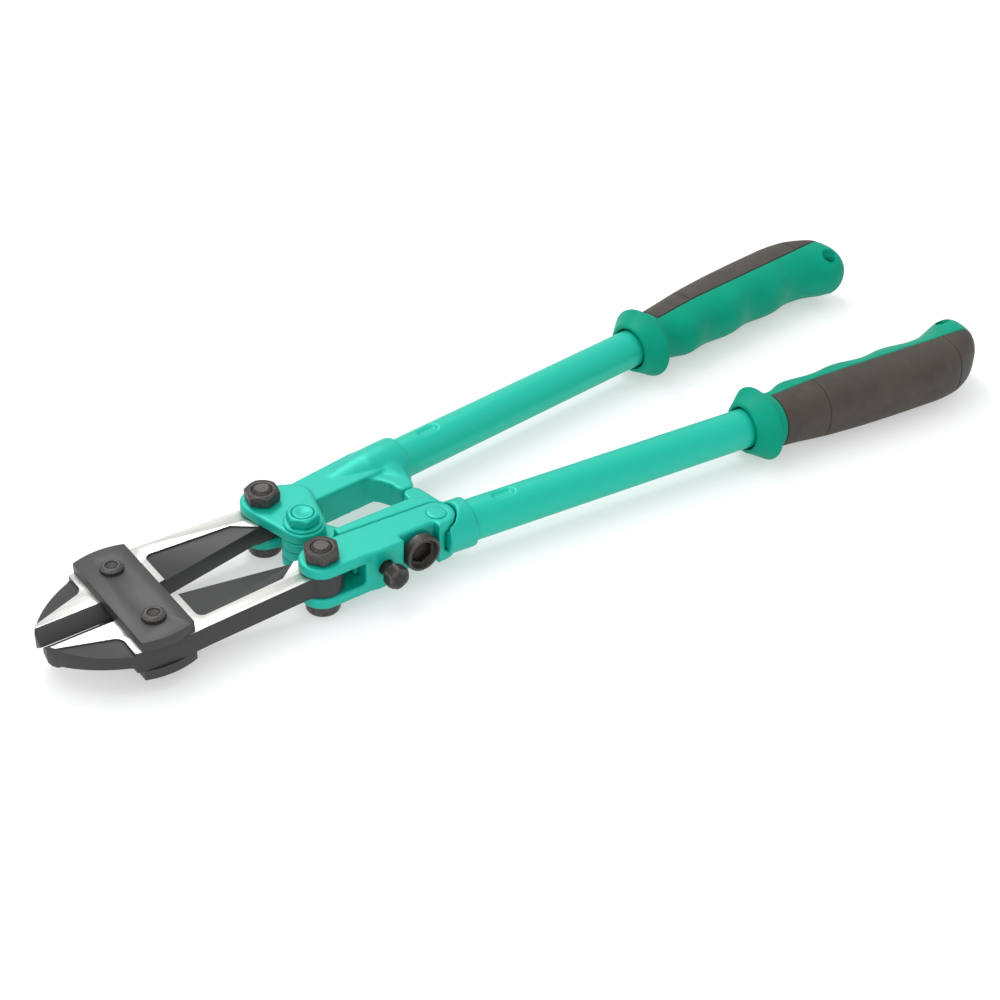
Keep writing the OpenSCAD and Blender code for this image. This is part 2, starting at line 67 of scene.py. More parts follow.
JOINTS = {j["name"]: j for j in frame["joints"]}
MOUNTS = {m["name"]: m for m in frame["record"]["mounts"]}


def joint_place(name):
    """Place of a joint in millimetres."""
    return np.array(JOINTS[name]["pos_m"]) * MM


def node_box(node):
    """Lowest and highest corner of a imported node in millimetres."""
    low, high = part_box(node)
    return np.array(low) * MM, np.array(high) * MM


PIVOT = joint_place("handle_swing")
LEFT_JAW_BOLT = joint_place("left_jaw_pivot")
RIGHT_JAW_BOLT = joint_place("right_jaw_pivot")
LEFT_STRAP_BOLT = joint_place("strap_pivot")
RIGHT_STRAP_BOLT = LEFT_STRAP_BOLT * (1, -1, 1)
RIVET = joint_place("adjuster_set")
MID_Z = PIVOT[2]

TUBE_LOW, TUBE_HIGH = node_box("tube_left")
TUBE_MID = (TUBE_LOW + TUBE_HIGH) / 2
HANDLE_TURN = math.atan2(TUBE_MID[1] + RIVET[1], TUBE_MID[0] - RIVET[0])
AXIS_OFFSET = -RIVET[1] - (RIVET[0] - PIVOT[0]) * math.tan(HANDLE_TURN)
TUBE_R = (TUBE_HIGH[2] - TUBE_LOW[2]) / 2
TUBE_SPAN = (TUBE_HIGH - TUBE_LOW)[0] - 2 * TUBE_R * math.sin(HANDLE_TURN)
TUBE_LENGTH = TUBE_SPAN / math.cos(HANDLE_TURN)
TUBE_MID_U = (TUBE_MID[0] - PIVOT[0]) / math.cos(HANDLE_TURN)
TUBE_START = TUBE_MID_U - TUBE_LENGTH / 2
TUBE_END = TUBE_MID_U + TUBE_LENGTH / 2
TUBE_WALL = 1.8
TUBE_LIP = 0.5  # rounding at both ends of a tube


def on_handle(side, u, v, z):
    """Points given along a handle's axis (u), outward from it (v) and above it (z)."""
    u, v, z = np.broadcast_arrays(*(np.asarray(a, float) for a in (u, v, z)))
    c, s = math.cos(HANDLE_TURN), math.sin(HANDLE_TURN)
    x = PIVOT[0] + u * c - v * s
    y = side * (AXIS_OFFSET + u * s + v * c)
    return np.stack([x, y, MID_Z + z], -1)


def handle_ring(side, u, r, angles, centre=0.0):
    """Ring across a handle at u, with its middle set outward by centre."""
    return on_handle(side, u, centre + r * np.cos(angles), r * np.sin(angles))


def along_handle(point):
    """A point of the left handle as its u and v."""
    c, s = math.cos(HANDLE_TURN), math.sin(HANDLE_TURN)
    dx, dy = point[0] - PIVOT[0], point[1] - AXIS_OFFSET
    return dx * c + dy * s, -dx * s + dy * c


HANG_U, HANG_V = along_handle(np.array(MOUNTS["hang_hole_left"]["pos_m"]) * MM)
HANG_R = MOUNTS["hang_hole_left"]["dims"]["r_mm"]
GRIP_END = HANG_U + 11

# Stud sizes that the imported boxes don't give.
BOLT_R = 4.0
PIVOT_R = 4.5
PIVOT_HEAD_FLATS = 12.2
NUT_BORE_R = BOLT_R + 0.05
THREAD_R = BOLT_R - 0.05
THREAD_DEPTH = 0.6
THREAD_TURNS = 3
SCREW_HALF_FLATS = 4.5


# ---- sizes and colours ----


class CutterSizes(bpy.types.PropertyGroup):
    """Sizes of the finished surfaces"""

    cast_voxel: FloatProperty(
        name="Casting Detail",
        description="Size of the cells that the castings are rebuilt from",
        default=0.00046,
        min=0.0003,
        unit="LENGTH",
        precision=5,
    )
    cast_rounding: IntProperty(
        name="Casting Rounding",
        description="Passes of smoothing that round the cast edges",
        default=7,
        min=1,
        max=40,
    )
    dimple_depth: FloatProperty(
        name="Dimple Depth",
        description="Depth of the dimple pressed into each tube",
        default=0.00135,
        unit="LENGTH",
        precision=5,
    )
    dimple_length: FloatProperty(
        name="Dimple Length",
        description="Length of the dimple pressed into each tube",
        default=0.012,
        unit="LENGTH",
        precision=4,
    )
    grip_length: FloatProperty(
        name="Grip Length",
        description="Length of a grip from its mouth to its end",
        default=0.136,
        unit="LENGTH",
        precision=4,
    )
    swell_depth: FloatProperty(
        name="Finger Swells",
        description="Depth of the finger swells on the inner edge of a grip",
        default=0.00216,
        unit="LENGTH",
        precision=5,
    )
    cover_rise: FloatProperty(
        name="Cover Rise",
        description="Height of the soft cover over the hard grip",
        default=0.00015,
        unit="LENGTH",
        precision=5,
    )
    groove_depth: FloatProperty(
        name="Cover Grooves",
        description="Depth of the two grooves across the soft cover",
        default=0.0006,
        unit="LENGTH",
        precision=5,
    )
    jaw_edge: FloatProperty(
        name="Jaw Edges",
        description="Width of the broken edges of the forged jaws",
        default=0.00035,
        unit="LENGTH",
        precision=5,
    )
    strap_edge: FloatProperty(
        name="Strap Edges",
        description="Width of the bevelled edges of the strap plates",
        default=0.0007,
        unit="LENGTH",
        precision=5,
    )
    thread_pitch: FloatProperty(
        name="Thread Pitch",
        description="Pitch of the bolt threads",
        default=0.00125,
        unit="LENGTH",
        precision=5,
    )
    lens: FloatProperty(
        name="Lens",
        description="Focal length of the camera",
        default=0.067753,
        unit="CAMERA",
    )


class CutterFinishes(bpy.types.PropertyGroup):
    """Colours of the finishes"""

    paint: FloatVectorProperty(
        name="Casting Paint",
        description="Colour of the gloss paint on the castings",
        subtype="COLOR",
        default=(0.0, 0.26, 0.175),
        min=0,
        max=1,
    )
    tube_paint: FloatVectorProperty(
        name="Tube Paint",
        description="Colour of the paint on the tubes",
        subtype="COLOR",
        default=(0.0, 0.32, 0.215),
        min=0,
        max=1,
    )
    grip_core: FloatVectorProperty(
        name="Hard Grip",
        description="Colour of the moulded grips",
        subtype="COLOR",
        default=(0.0, 0.27, 0.17),
        min=0,
        max=1,
    )
    grip_cover: FloatVectorProperty(
        name="Soft Cover",
        description="Colour of the soft covers on the grips",
        subtype="COLOR",
        default=(0.045, 0.038, 0.029),
        min=0,
        max=1,
    )
    forging: FloatVectorProperty(
        name="Black Forging",
        description="Colour of the black skin of the jaws",
        subtype="COLOR",
        default=(0.022, 0.021, 0.02),
        min=0,
        max=1,
    )
    ground_steel: FloatVectorProperty(
        name="Ground Steel",
        description="Colour of the bright ground lands of the jaws",
        subtype="COLOR",
        default=(0.64, 0.62, 0.59),
        min=0,
        max=1,
    )
    strap: FloatVectorProperty(
        name="Strap",
        description="Colour of the blackened strap plates",
        subtype="COLOR",
        default=(0.03, 0.03, 0.028),
        min=0,
        max=1,
    )
    fastener: FloatVectorProperty(
        name="Fasteners",
        description="Colour of the dark nuts and bolts",
        subtype="COLOR",
        default=(0.026, 0.022, 0.02),
        min=0,
        max=1,
    )


# ---- shared mesh steps ----


def new_object(name, verts, faces):
    """A mesh object in the scene, from points and faces."""
    mesh = bpy.data.meshes.new(name)
    mesh.from_pydata([tuple(v) for v in np.asarray(verts, float)], [], faces)
    piece = bpy.data.objects.new(name, mesh)
    bpy.context.scene.collection.objects.link(piece)
    return piece


def clean(piece):
    """Merges doubled points and turns every face outward."""
    merge = 1e-4
    bm = bmesh.new()
    bm.from_mesh(piece.data)
    bmesh.ops.remove_doubles(bm, verts=bm.verts, dist=merge)
    bmesh.ops.dissolve_degenerate(bm, edges=bm.edges, dist=merge)
    bmesh.ops.recalc_face_normals(bm, faces=bm.faces)
    bm.to_mesh(piece.data)
    bm.free()
    return piece


def packed_copy(name, node, flatten=False):
    """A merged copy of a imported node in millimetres, with its flat faces whole if asked."""
    bm = bmesh.new()
    bm.from_mesh(frame["nodes"][node].data)
    bm.transform(Matrix.Scale(MM, 4))
    bmesh.ops.remove_doubles(bm, verts=bm.verts, dist=1e-3)
    if flatten:
        bmesh.ops.dissolve_limit(
            bm, angle_limit=math.radians(0.6), verts=bm.verts, edges=bm.edges
        )
    mesh = bpy.data.meshes.new(name)
    bm.to_mesh(mesh)
    bm.free()
    mesh.materials.clear()
    piece = bpy.data.objects.new(name, mesh)
    bpy.context.scene.collection.objects.link(piece)
    return piece


def settle(piece):
    """Replaces a piece's mesh by what its modifiers make of it."""
    bpy.context.view_layer.update()
    seen = piece.evaluated_get(bpy.context.evaluated_depsgraph_get())
    mesh = bpy.data.meshes.new_from_object(seen)
    old, name = piece.data, piece.data.name
    piece.modifiers.clear()
    piece.data = mesh
    bpy.data.meshes.remove(old)
    mesh.name = name
    return piece


def bevelled(piece, width, segments, angle):
    """Bevels the edges that turn by more than an angle in degrees."""
    mod = piece.modifiers.new("edges", "BEVEL")
    mod.width = width
    mod.segments = segments
    mod.limit_method = "ANGLE"
    mod.angle_limit = math.radians(angle)
    mod.harden_normals = False
    mod.use_clamp_overlap = True
    return settle(piece)


def cut(piece, cutter):
    """Takes a cutter's shape out of a piece, and the cutter out of the scene."""
    mod = piece.modifiers.new("cut", "BOOLEAN")
    mod.operation = "DIFFERENCE"
    mod.solver = "EXACT"
    mod.object = cutter
    settle(piece)
    bpy.data.objects.remove(cutter)
    return piece


def joined(pieces, name):
    """Several loose objects as one mesh object."""
    bm = bmesh.new()
    for piece in pieces:
        bm.from_mesh(piece.data)
    mesh = bpy.data.meshes.new(name)
    bm.to_mesh(mesh)
    bm.free()
    for piece in pieces:
        bpy.data.objects.remove(piece)
    whole = bpy.data.objects.new(name, mesh)
    bpy.context.scene.collection.objects.link(whole)
    return whole


def loft(rings, start="fan", end="fan"):
    """Points and faces of a skin over closed rings of equal count. Each end is closed by a fan,
    or a start of "loop" joins the last ring to the first."""
    rings = np.asarray(rings, float)
    m, n = rings.shape[:2]
    verts = list(rings.reshape(-1, 3))
    j = np.arange(n)
    k = (j + 1) % n
    faces = []
    for i in range(m - 1):
        a, b = i * n, (i + 1) * n
        faces += [tuple(f) for f in np.stack([a + j, a + k, b + k, b + j], 1).tolist()]
    for mode, first in ((start, 0), (end, (m - 1) * n)):
        if mode == "fan":
            middle = len(verts)
            verts.append(rings[0 if first == 0 else -1].mean(0))
            faces += [(first + int(p), first + int(q), middle) for p, q in zip(j, k)]
    if start == "loop":
        a = (m - 1) * n
        faces += [tuple(f) for f in np.stack([a + j, a + k, k, j], 1).tolist()]
    return verts, faces


def circle(count):
    """Evenly spaced angles round a circle."""
    return np.arange(count) * 2 * math.pi / count


def turned(profile, count, centre, axis="z"):
    """Rings of a turned shape: profile holds (height, radius) pairs."""
    angles = circle(count)
    rings = []
    for h, r in profile:
        a, b = r * np.cos(angles), r * np.sin(angles)
        flat = np.full(count, float(h))
        ring = {"z": (a, b, flat), "-y": (a, -flat, b)}[axis]
        rings.append(np.stack(ring, 1) + centre)
    return rings


def turned_piece(name, profile, place):
    """A solid turned about the upright axis through a place, closed at both ends."""
    return clean(new_object(name, *loft(turned(profile, 64, place * (1, 1, 0)))))


def hexagon_reach(half_flats, angles):
    """Distance from the middle of a hexagon to its outline at the given angles."""
    step = math.pi / 3
    return half_flats / np.cos((angles + step / 2) % step - step / 2)


def smooth_step(a, b, x):
    """Rises from 0 at a to 1 at b, level at both ends."""
    t = np.clip((np.asarray(x, float) - a) / (b - a), 0, 1)
    return t * t * (3 - 2 * t)


def mesh_points(piece):
    co = np.empty(len(piece.data.vertices) * 3)
    piece.data.vertices.foreach_get("co", co)
    return co.reshape(-1, 3)


def mesh_normals(piece):
    no = np.empty(len(piece.data.vertices) * 3, np.float32)
    piece.data.vertex_normals.foreach_get("vector", no)
    return no.reshape(-1, 3).astype(float)


def relax(piece, passes):
    """Rounds a dense mesh: in each pass a point moves halfway to the middle of its neighbours.
    Returns how far each point sank, which is large along outer edges."""
    mesh = piece.data
    edges = np.empty(len(mesh.edges) * 2, np.int64)
    mesh.edges.foreach_get("vertices", edges)
    edges = edges.reshape(-1, 2)
    count = len(mesh.vertices)
    a = np.concatenate([edges[:, 0], edges[:, 1]])
    b = np.concatenate([edges[:, 1], edges[:, 0]])
    near = np.bincount(a, minlength=count).clip(1)[:, None]
    start = mesh_points(piece)
    normals = mesh_normals(piece)
    co = start.copy()
    for _ in range(passes):
        mean = np.stack([np.bincount(a, co[b, i], count) for i in range(3)], 1) / near
        co += (mean - co) * 0.5
    piece.data.vertices.foreach_set("co", co.ravel())
    piece.data.update()
    return ((start - co) * normals).sum(1)


def keep_edge(piece, values):
    """Keeps how sharp an outer edge each point lies on, which the finishes read."""
    values = np.broadcast_to(values, (len(piece.data.vertices),)).astype(np.float32)
    layer = piece.data.attributes.get("edge")
    layer = layer or piece.data.attributes.new("edge", "FLOAT", "POINT")
    layer.data.foreach_set("value", values)
    return piece


def finished(piece, body, material, node, sharp=None):
    """Brings a piece to metres, gives it its finish and its body, and hides the imported node it stands for."""
    mesh = piece.data
    mesh.transform(Matrix.Scale(1 / MM, 4))
    mesh.materials.clear()
    mesh.materials.append(material)
    mesh.polygons.foreach_set("material_index", np.zeros(len(mesh.polygons), np.int32))
    mesh.polygons.foreach_set("use_smooth", np.ones(len(mesh.polygons), bool))
    if sharp:
        mesh.set_sharp_from_angle(angle=math.radians(sharp))
    mesh.update()
    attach(piece, body)
    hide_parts(node)
    return piece


def feed(links, value, socket):
    """Links a node's output to a socket, or sets the socket to a plain value."""
    if isinstance(value, bpy.types.NodeSocket):
        links.new(value, socket)
    else:
        socket.default_value = value


# ---- materials ----


class Shader:
    """Small helper that adds and links the nodes of one material."""

    def __init__(self, name):
        self.material = bpy.data.materials.new(name)
        self.material.use_nodes = True
        self.tree = self.material.node_tree
        self.tree.nodes.clear()
        self.out = self.add("ShaderNodeOutputMaterial")
        self.surface = self.add("ShaderNodeBsdfPrincipled")
        self.link(self.surface.outputs["BSDF"], self.out.inputs["Surface"])
        self.place = self.add("ShaderNodeTexCoord").outputs["Object"]

    def add(self, kind, **values):
        node = self.tree.nodes.new(kind)
        for key, value in values.items():
            setattr(node, key, value)
        return node

    def link(self, a, b):
        self.tree.links.new(a, b)

    def set(self, **values):
        for key, value in values.items():
            self.surface.inputs[key.replace("_", " ")].default_value = value

    def mapped(self, scale=(1, 1, 1), turn=0.0):
        node = self.add("ShaderNodeMapping")
        node.inputs["Scale"].default_value = scale
        node.inputs["Rotation"].default_value = (0, 0, turn)
        self.link(self.place, node.inputs["Vector"])
        return node.outputs["Vector"]

    def noise(self, size, detail, rough=0.5, vector=None):
        """Noise whose lumps are about size millimetres across."""
        node = self.add("ShaderNodeTexNoise")
        node.inputs["Scale"].default_value = MM / size
        node.inputs["Detail"].default_value = detail
        node.inputs["Roughness"].default_value = rough
        self.link(vector or self.place, node.inputs["Vector"])
        return node.outputs["Fac"]

    def ramp(self, value, low, high, a=0.0, b=1.0):
        """Brings a value between low and high to one between a and b."""
        node = self.add("ShaderNodeMapRange")
        for key, limit in zip(("From Min", "From Max", "To Min", "To Max"), (low, high, a, b)):
            node.inputs[key].default_value = limit
        self.link(value, node.inputs["Value"])
        return node.outputs["Result"]

    def mix(self, factor, a, b):
        """Mix of two colours."""
        node = self.add("ShaderNodeMix", data_type="RGBA")
        feed(self.tree.links, factor, node.inputs[0])
        for index, colour in ((6, a), (7, b)):
            if isinstance(colour, tuple):
                colour = (*colour, 1)
            feed(self.tree.links, colour, node.inputs[index])
        return node.outputs[2]

    def times(self, a, b):
        node = self.add("ShaderNodeMath", operation="MULTIPLY")
        feed(self.tree.links, a, node.inputs[0])
        feed(self.tree.links, b, node.inputs[1])
        return node.outputs[0]

    def attribute(self, name):
        return self.add("ShaderNodeAttribute", attribute_name=name).outputs["Fac"]

    def bump(self, height, depth, before=None):
        """Bump of depth millimetres, on top of the one before it."""
        node = self.add("ShaderNodeBump")
        node.inputs["Distance"].default_value = depth / MM
        self.link(height, node.inputs["Height"])
        if before is not None:
            self.link(before, node.inputs["Normal"])
        return node.outputs["Normal"]

    def finish(self, colour, roughness, normal=None):
        self.link(colour, self.surface.inputs["Base Color"])
        self.link(roughness, self.surface.inputs["Roughness"])
        if normal is not None:
            self.link(normal, self.surface.inputs["Normal"])
        return self.material


def shade(colour, factor):
    """A colour made darker or lighter."""
    return tuple(min(1.0, c * factor) for c in colour)


def ready(name, build):
    """A material by name, built once."""
    return bpy.data.materials.get(name) or build(name)


def finish_colour(key):
    """A colour that the user can change."""
    return tuple(getattr(bpy.context.scene.cutter_finishes, key))


def cast_paint(name):
    """Gloss paint over a pitted casting, with a painted highlight along its edges: the paint turns a paler green
    there.
    """
    c = finish_colour("paint")
    s = Shader(name)
    s.set(Coat_Weight=0.35, Coat_Roughness=0.07, IOR=1.5, Specular_IOR_Level=0.12)
    patches = s.noise(22, 2.0)
    edge = s.ramp(s.attribute("edge"), 0.02, 0.3)
    colour = s.mix(s.ramp(patches, 0.35, 0.65), shade(c, 0.93), shade(c, 1.05))
    # painted highlight: the paint is lifted to a paler green along the sharp outer edges of the casting, where
    # light would catch
    colour = s.mix(s.times(edge, 0.35), colour, (0.05, 0.46, 0.36))
    pores = s.noise(0.9, 2.0)
    colour = s.mix(s.ramp(pores, 0.24, 0.34, 0.35, 0.0), colour, shade(c, 0.6))
    lumps = s.bump(s.noise(4.5, 3.0), 0.22)
    peel = s.bump(s.noise(0.8, 2.0), 0.018, before=lumps)
    return s.finish(colour, s.ramp(s.noise(3, 3.0), 0.3, 0.7, 0.22, 0.3), peel)


def tube_paint(name):
    """Gloss paint on a drawn tube, faintly streaked along it."""
    c = finish_colour("tube_paint")
    s = Shader(name)
    s.set(Coat_Weight=0.35, Coat_Roughness=0.07, IOR=1.5, Specular_IOR_Level=0.12)
    along = s.mapped((0.06, 1, 1), -HANDLE_TURN)
    streaks = s.noise(3.0, 3.0, vector=along)
    colour = s.mix(s.ramp(streaks, 0.3, 0.7), shade(c, 0.95), shade(c, 1.04))
    specks = s.noise(0.7, 1.0)
    colour = s.mix(s.ramp(specks, 0.2, 0.28, 0.3, 0.0), colour, shade(c, 0.65))
    peel = s.bump(s.noise(1.1, 2.0), 0.012)
    return s.finish(colour, s.ramp(s.noise(5, 3.0), 0.3, 0.7, 0.22, 0.29), peel)


def moulded_grip(name):
    """Satin moulded plastic."""
    c = finish_colour("grip_core")
    s = Shader(name)
    s.set(IOR=1.46, Specular_IOR_Level=0.1)
    cloud = s.noise(14, 3.0)
    colour = s.mix(s.ramp(cloud, 0.3, 0.7), shade(c, 0.92), shade(c, 1.08))
    grain = s.bump(s.noise(0.45, 2.0), 0.02)
    return s.finish(colour, s.ramp(s.noise(6, 4.0), 0.3, 0.7, 0.4, 0.52), grain)


def soft_cover(name):
    """Dull soft cover with a fine grain."""
    c = finish_colour("grip_cover")
    s = Shader(name)
    s.set(IOR=1.45)
    cloud = s.noise(11, 4.0)
    colour = s.mix(s.ramp(cloud, 0.3, 0.7), shade(c, 0.88), shade(c, 1.12))
    dust = s.noise(0.5, 2.0)
    colour = s.mix(s.ramp(dust, 0.6, 0.75, 0.0, 0.3), colour, shade(c, 1.7))
    grain = s.bump(s.noise(0.35, 2.0), 0.03)
    return s.finish(colour, s.ramp(s.noise(4, 3.0), 0.3, 0.7, 0.58, 0.72), grain)


def forged_steel(name):
    """Black forging skin."""
    dark = finish_colour("forging")
    s = Shader(name)
    s.set(Specular_IOR_Level=0.45)
    skin = s.noise(1.2, 4.0, 0.6)
    scale = s.noise(6, 3.0)
    black = s.mix(s.ramp(scale, 0.3, 0.7), shade(dark, 0.75), shade(dark, 1.35))
    black = s.mix(s.ramp(skin, 0.6, 0.72, 0.0, 0.5), black, shade(dark, 2.2))
    coarse = s.bump(skin, 0.05)
    return s.finish(black, s.ramp(scale, 0.3, 0.7, 0.4, 0.54), coarse)


def ground_land(name):
    """Bright steel with fine grinding lines."""
    bright = finish_colour("ground_steel")
    s = Shader(name)
    s.set(Metallic=0.85)
    lines = s.noise(0.5, 4.0, 0.7, s.mapped((0.04, 1, 0.04)))
    cloud = s.noise(9, 3.0)
    steel = s.mix(s.ramp(lines, 0.3, 0.7), shade(bright, 0.88), shade(bright, 1.04))
    steel = s.mix(s.ramp(cloud, 0.35, 0.7, 0.0, 0.35), steel, shade(bright, 0.78))
    fine = s.bump(lines, 0.01)
    return s.finish(steel, s.ramp(lines, 0.3, 0.7, 0.3, 0.44), fine)


def strap_steel(name):
    """Blackened plate, worn bright along its edges."""
    c = finish_colour("strap")
    s = Shader(name)
    s.set(Metallic=0.45)
    lines = s.noise(0.5, 4.0, 0.7, s.mapped((1, 0.05, 0.05)))
    cloud = s.noise(7, 3.0)
    colour = s.mix(s.ramp(cloud, 0.3, 0.7), shade(c, 0.8), shade(c, 1.3))
    edge = s.ramp(s.attribute("edge"), 0.5, 1.0)
    worn = s.times(edge, s.ramp(s.noise(0.9, 3.0), 0.35, 0.7, 0.05, 0.5))
    colour = s.mix(worn, colour, (0.2, 0.195, 0.19))
    grain = s.bump(lines, 0.01)
    grain = s.bump(s.noise(0.7, 2.0), 0.012, before=grain)
    return s.finish(colour, s.ramp(cloud, 0.3, 0.7, 0.34, 0.46), grain)


def dark_phosphate(name):
    """Dark fasteners, worn along their edges."""
    c = finish_colour("fastener")
    s = Shader(name)
    s.set(Metallic=0.6)
    cloud = s.noise(1.8, 3.0)
    colour = s.mix(s.ramp(cloud, 0.3, 0.7), shade(c, 0.7), shade(c, 1.4))
    edge = s.ramp(s.attribute("edge"), 0.4, 1.0)
    worn = s.times(edge, s.ramp(s.noise(0.6, 3.0), 0.3, 0.65, 0.05, 0.5))
    colour = s.mix(worn, colour, (0.19, 0.18, 0.17))
    grain = s.bump(s.noise(0.35, 3.0), 0.02)
    return s.finish(colour, s.ramp(cloud, 0.3, 0.7, 0.38, 0.55), grain)


def edge_mask(piece, angle=18):
    """Marks each point by how far the faces turn at its sharpest outer edge, in degrees."""
    bm = bmesh.new()
    bm.from_mesh(piece.data)
    bm.normal_update()
    values = np.zeros(len(bm.verts))
    for v in bm.verts:
        turn = 0.0
        for e in v.link_edges:
            if len(e.link_faces) == 2 and e.is_convex:
                turn = max(turn, e.calc_face_angle(0.0))
        values[v.index] = min(1.0, turn / math.radians(angle))
    bm.free()
    keep_edge(piece, values)


# ---- castings ----


def cast_piece(name, node, extras):
    """A packed casting rebuilt with soft cast edges, with its extra blend shapes."""
    sizes = bpy.context.scene.cutter_sizes
    piece = packed_copy(name, node)
    if extras:
        piece = joined([piece, *extras], name)
    mod = piece.modifiers.new("cells", "REMESH")
    mod.mode = "VOXEL"
    mod.voxel_size = sizes.cast_voxel * MM
    settle(piece)
    return keep_edge(piece, relax(piece, sizes.cast_rounding).clip(0, 1))


def arm_swell(side):
    """Round swelling of a cast arm into the barrel that holds the tube."""
    profile = [
        (17, 6.4),
        (22, 7.4),
        (30, 8.5),
        (38, 9.7),
        (46, 10.7),
        (54, 11.1),
        (60.5, 11.0),
        (62, 10.7),
    ]
    rings = []
    angles = circle(72)
    for u, r in profile:
        squash = 0.92 + 0.08 * smooth_step(20, 50, u)
        outward = 0.9 * (1 - smooth_step(30, 56, u))
        v, z = outward + r * np.cos(angles), r * squash * np.sin(angles)
        rings.append(on_handle(side, u, v, z))
    return clean(new_object("swell", *loft(rings)))


def leg_swell(side):
    """Broad web that lets a barrel flow into its closing leg."""
    leg_u = 51.4
    profile = [
        (1, 9.6, 9.4),
        (-3, 9.9, 9.3),
        (-7, 9.2, 8.2),
        (-10.5, 7.8, 7.1),
        (-13.5, 6.7, 6.4),
        (-16, 6.0, 6.0),
    ]
    angles = circle(72)
    rings = [
        on_handle(side, leg_u + wide * np.cos(angles), v, high * np.sin(angles))
        for v, wide, high in profile
    ]
    return clean(new_object("leg", *loft(rings)))


class CUTTERS_OT_castings(bpy.types.Operator):
    """Builds both handle castings and the adjuster link with rounded cast edges"""

    bl_idname = "cutters.castings"
    bl_label = "Castings"

    def execute(self, context):
        paint = ready("cast_paint", cast_paint)
        jobs = (
            ("casting_left", "left_handle", [arm_swell(LEFT), leg_swell(LEFT)]),
            ("casting_right", "right_handle", []),
            ("adjuster_link", "adjuster", []),
        )
        for node, body, extras in jobs:
            piece = cast_piece(f"{node}_cast", node, extras)
            finished(piece, body, paint, node)
        return {"FINISHED"}


# ---- tubes ----


class CUTTERS_OT_tubes(bpy.types.Operator):
    """Builds the two handle tubes with their pressed dimples"""

    bl_idname = "cutters.tubes"
    bl_label = "Tubes"

    def execute(self, context):
        sizes = context.scene.cutter_sizes
        paint = ready("tube_paint", tube_paint)
        dimple_u = TUBE_START + 16.8
        slope = 3.2  # width of the dimple's rounded side
        stations = np.concatenate(
            [
                [TUBE_START + 0.45, TUBE_START + 2],
                np.linspace(dimple_u - 9, dimple_u + 9, 73),
                np.linspace(dimple_u + 14, TUBE_END - TUBE_LIP, 40),
            ]
        )
        angles = circle(144)
        half = sizes.dimple_length * MM / 2
        for label, side in SIDES.items():
            ends = (TUBE_R - TUBE_WALL, TUBE_R - TUBE_LIP)
            rings = [handle_ring(side, TUBE_START, r, angles) for r in ends]
            for u in stations:
                across = TUBE_R * np.abs(np.arcsin(np.cos(angles)))
                along = max(abs(u - dimple_u) - (half - slope), 0.0)
                away = np.hypot(along, across) / slope
                depth = sizes.dimple_depth * MM * (1 - smooth_step(0.3, 1.0, away))
                rings.append(handle_ring(side, u, TUBE_R - depth, angles))
            rings += [handle_ring(side, TUBE_END, r, angles) for r in reversed(ends)]
            piece = clean(new_object(f"tube_{label}_drawn", *loft(rings, "loop", None)))
            body = f"{label}_handle"
            finished(piece, body, paint, f"tube_{label}", sharp=35)
        return {"FINISHED"}


# ---- grips ----

GRIP_COUNT = 176
SEAM_STEPS = np.array([0.0, 0.12, 0.25, 0.4, 0.6, 0.9, 1.4, 2.4])
SPLIT_V = -2.0  # where the soft cover meets the hard grip
LOBE_V, LOBE_R = 20.3, 7.5
BACK_V, PALM_V, NECK_V = 16.2, 14.5, 12.6
NECK_PALM_V = 11.3
HALF_HEIGHT, NECK_HALF_HEIGHT = 13.5, 11.9
NOSE_LENGTH, NOSE_V = 36.0, -8.0
NECK_FROM_MOUTH, COVER_FROM_MOUTH = 14.5, 15.5
FIRST_VALLEY_FROM_MOUTH, FINGER_PITCH = 43, 29

# The guard flange: distance from the mouth, half width and half height.
FLANGE = (
    (0.0, 11.0, 10.9),
    (0.35, 11.6, 11.4),
    (1.2, 12.2, 11.8),
    (3.6, 14.0, 13.0),
    (6.4, 16.2, 14.6),
    (7.9, 17.3, 15.5),
    (8.5, 17.7, 15.9),
    (9.0, 17.6, 15.85),
    (9.4, 17.0, 15.4),
    (10.2, 15.8, 14.5),
    (11.0, 14.7, 13.6),
    (12.0, 13.7, 12.9),
    (13.1, 13.0, 12.4),
    (14.1, 12.75, 12.15),
)


def grip_mouth():
    """Where a grip begins, along the handle."""
    return GRIP_END - bpy.context.scene.cutter_sizes.grip_length * MM


def back_edge(u):
    """Outer edge of a grip behind its neck."""
    neck = grip_mouth() + NECK_FROM_MOUTH
    nose = GRIP_END - NOSE_LENGTH
    t = np.clip((u - neck) / (nose - neck), 0, 1)
    start = NECK_V + 0.2
    body = start + (BACK_V - start) * np.sin(math.pi / 2 * np.minimum(1, t * 1.1))
    past = (u - nose) / NOSE_LENGTH
    end = NOSE_V + (BACK_V - NOSE_V) * np.sqrt(np.clip(1 - past**2, 0, 1))
    return np.where(u > nose, end, body)


def palm_edge(u):
    """Inner edge of a grip behind its neck, with the finger swells and the lobe at the end."""
    mouth = grip_mouth()
    swell = bpy.context.scene.cutter_sizes.swell_depth * MM
    wave = -np.cos(2 * math.pi * (u - mouth - FIRST_VALLEY_FROM_MOUTH) / FINGER_PITCH)
    palm = PALM_V + swell / 2 * wave
    palm = palm + (NECK_PALM_V - palm) * (1 - smooth_step(mouth + 17, mouth + 30, u))
    palm = palm + (LOBE_V - palm) * smooth_step(GRIP_END - 27, GRIP_END - 10, u)
    into_lobe = np.clip(u - GRIP_END + LOBE_R, 0, LOBE_R)
    end = LOBE_V - LOBE_R + np.sqrt(np.clip(LOBE_R**2 - into_lobe**2, 0, None))
    return np.where(u > GRIP_END - LOBE_R, end, palm)


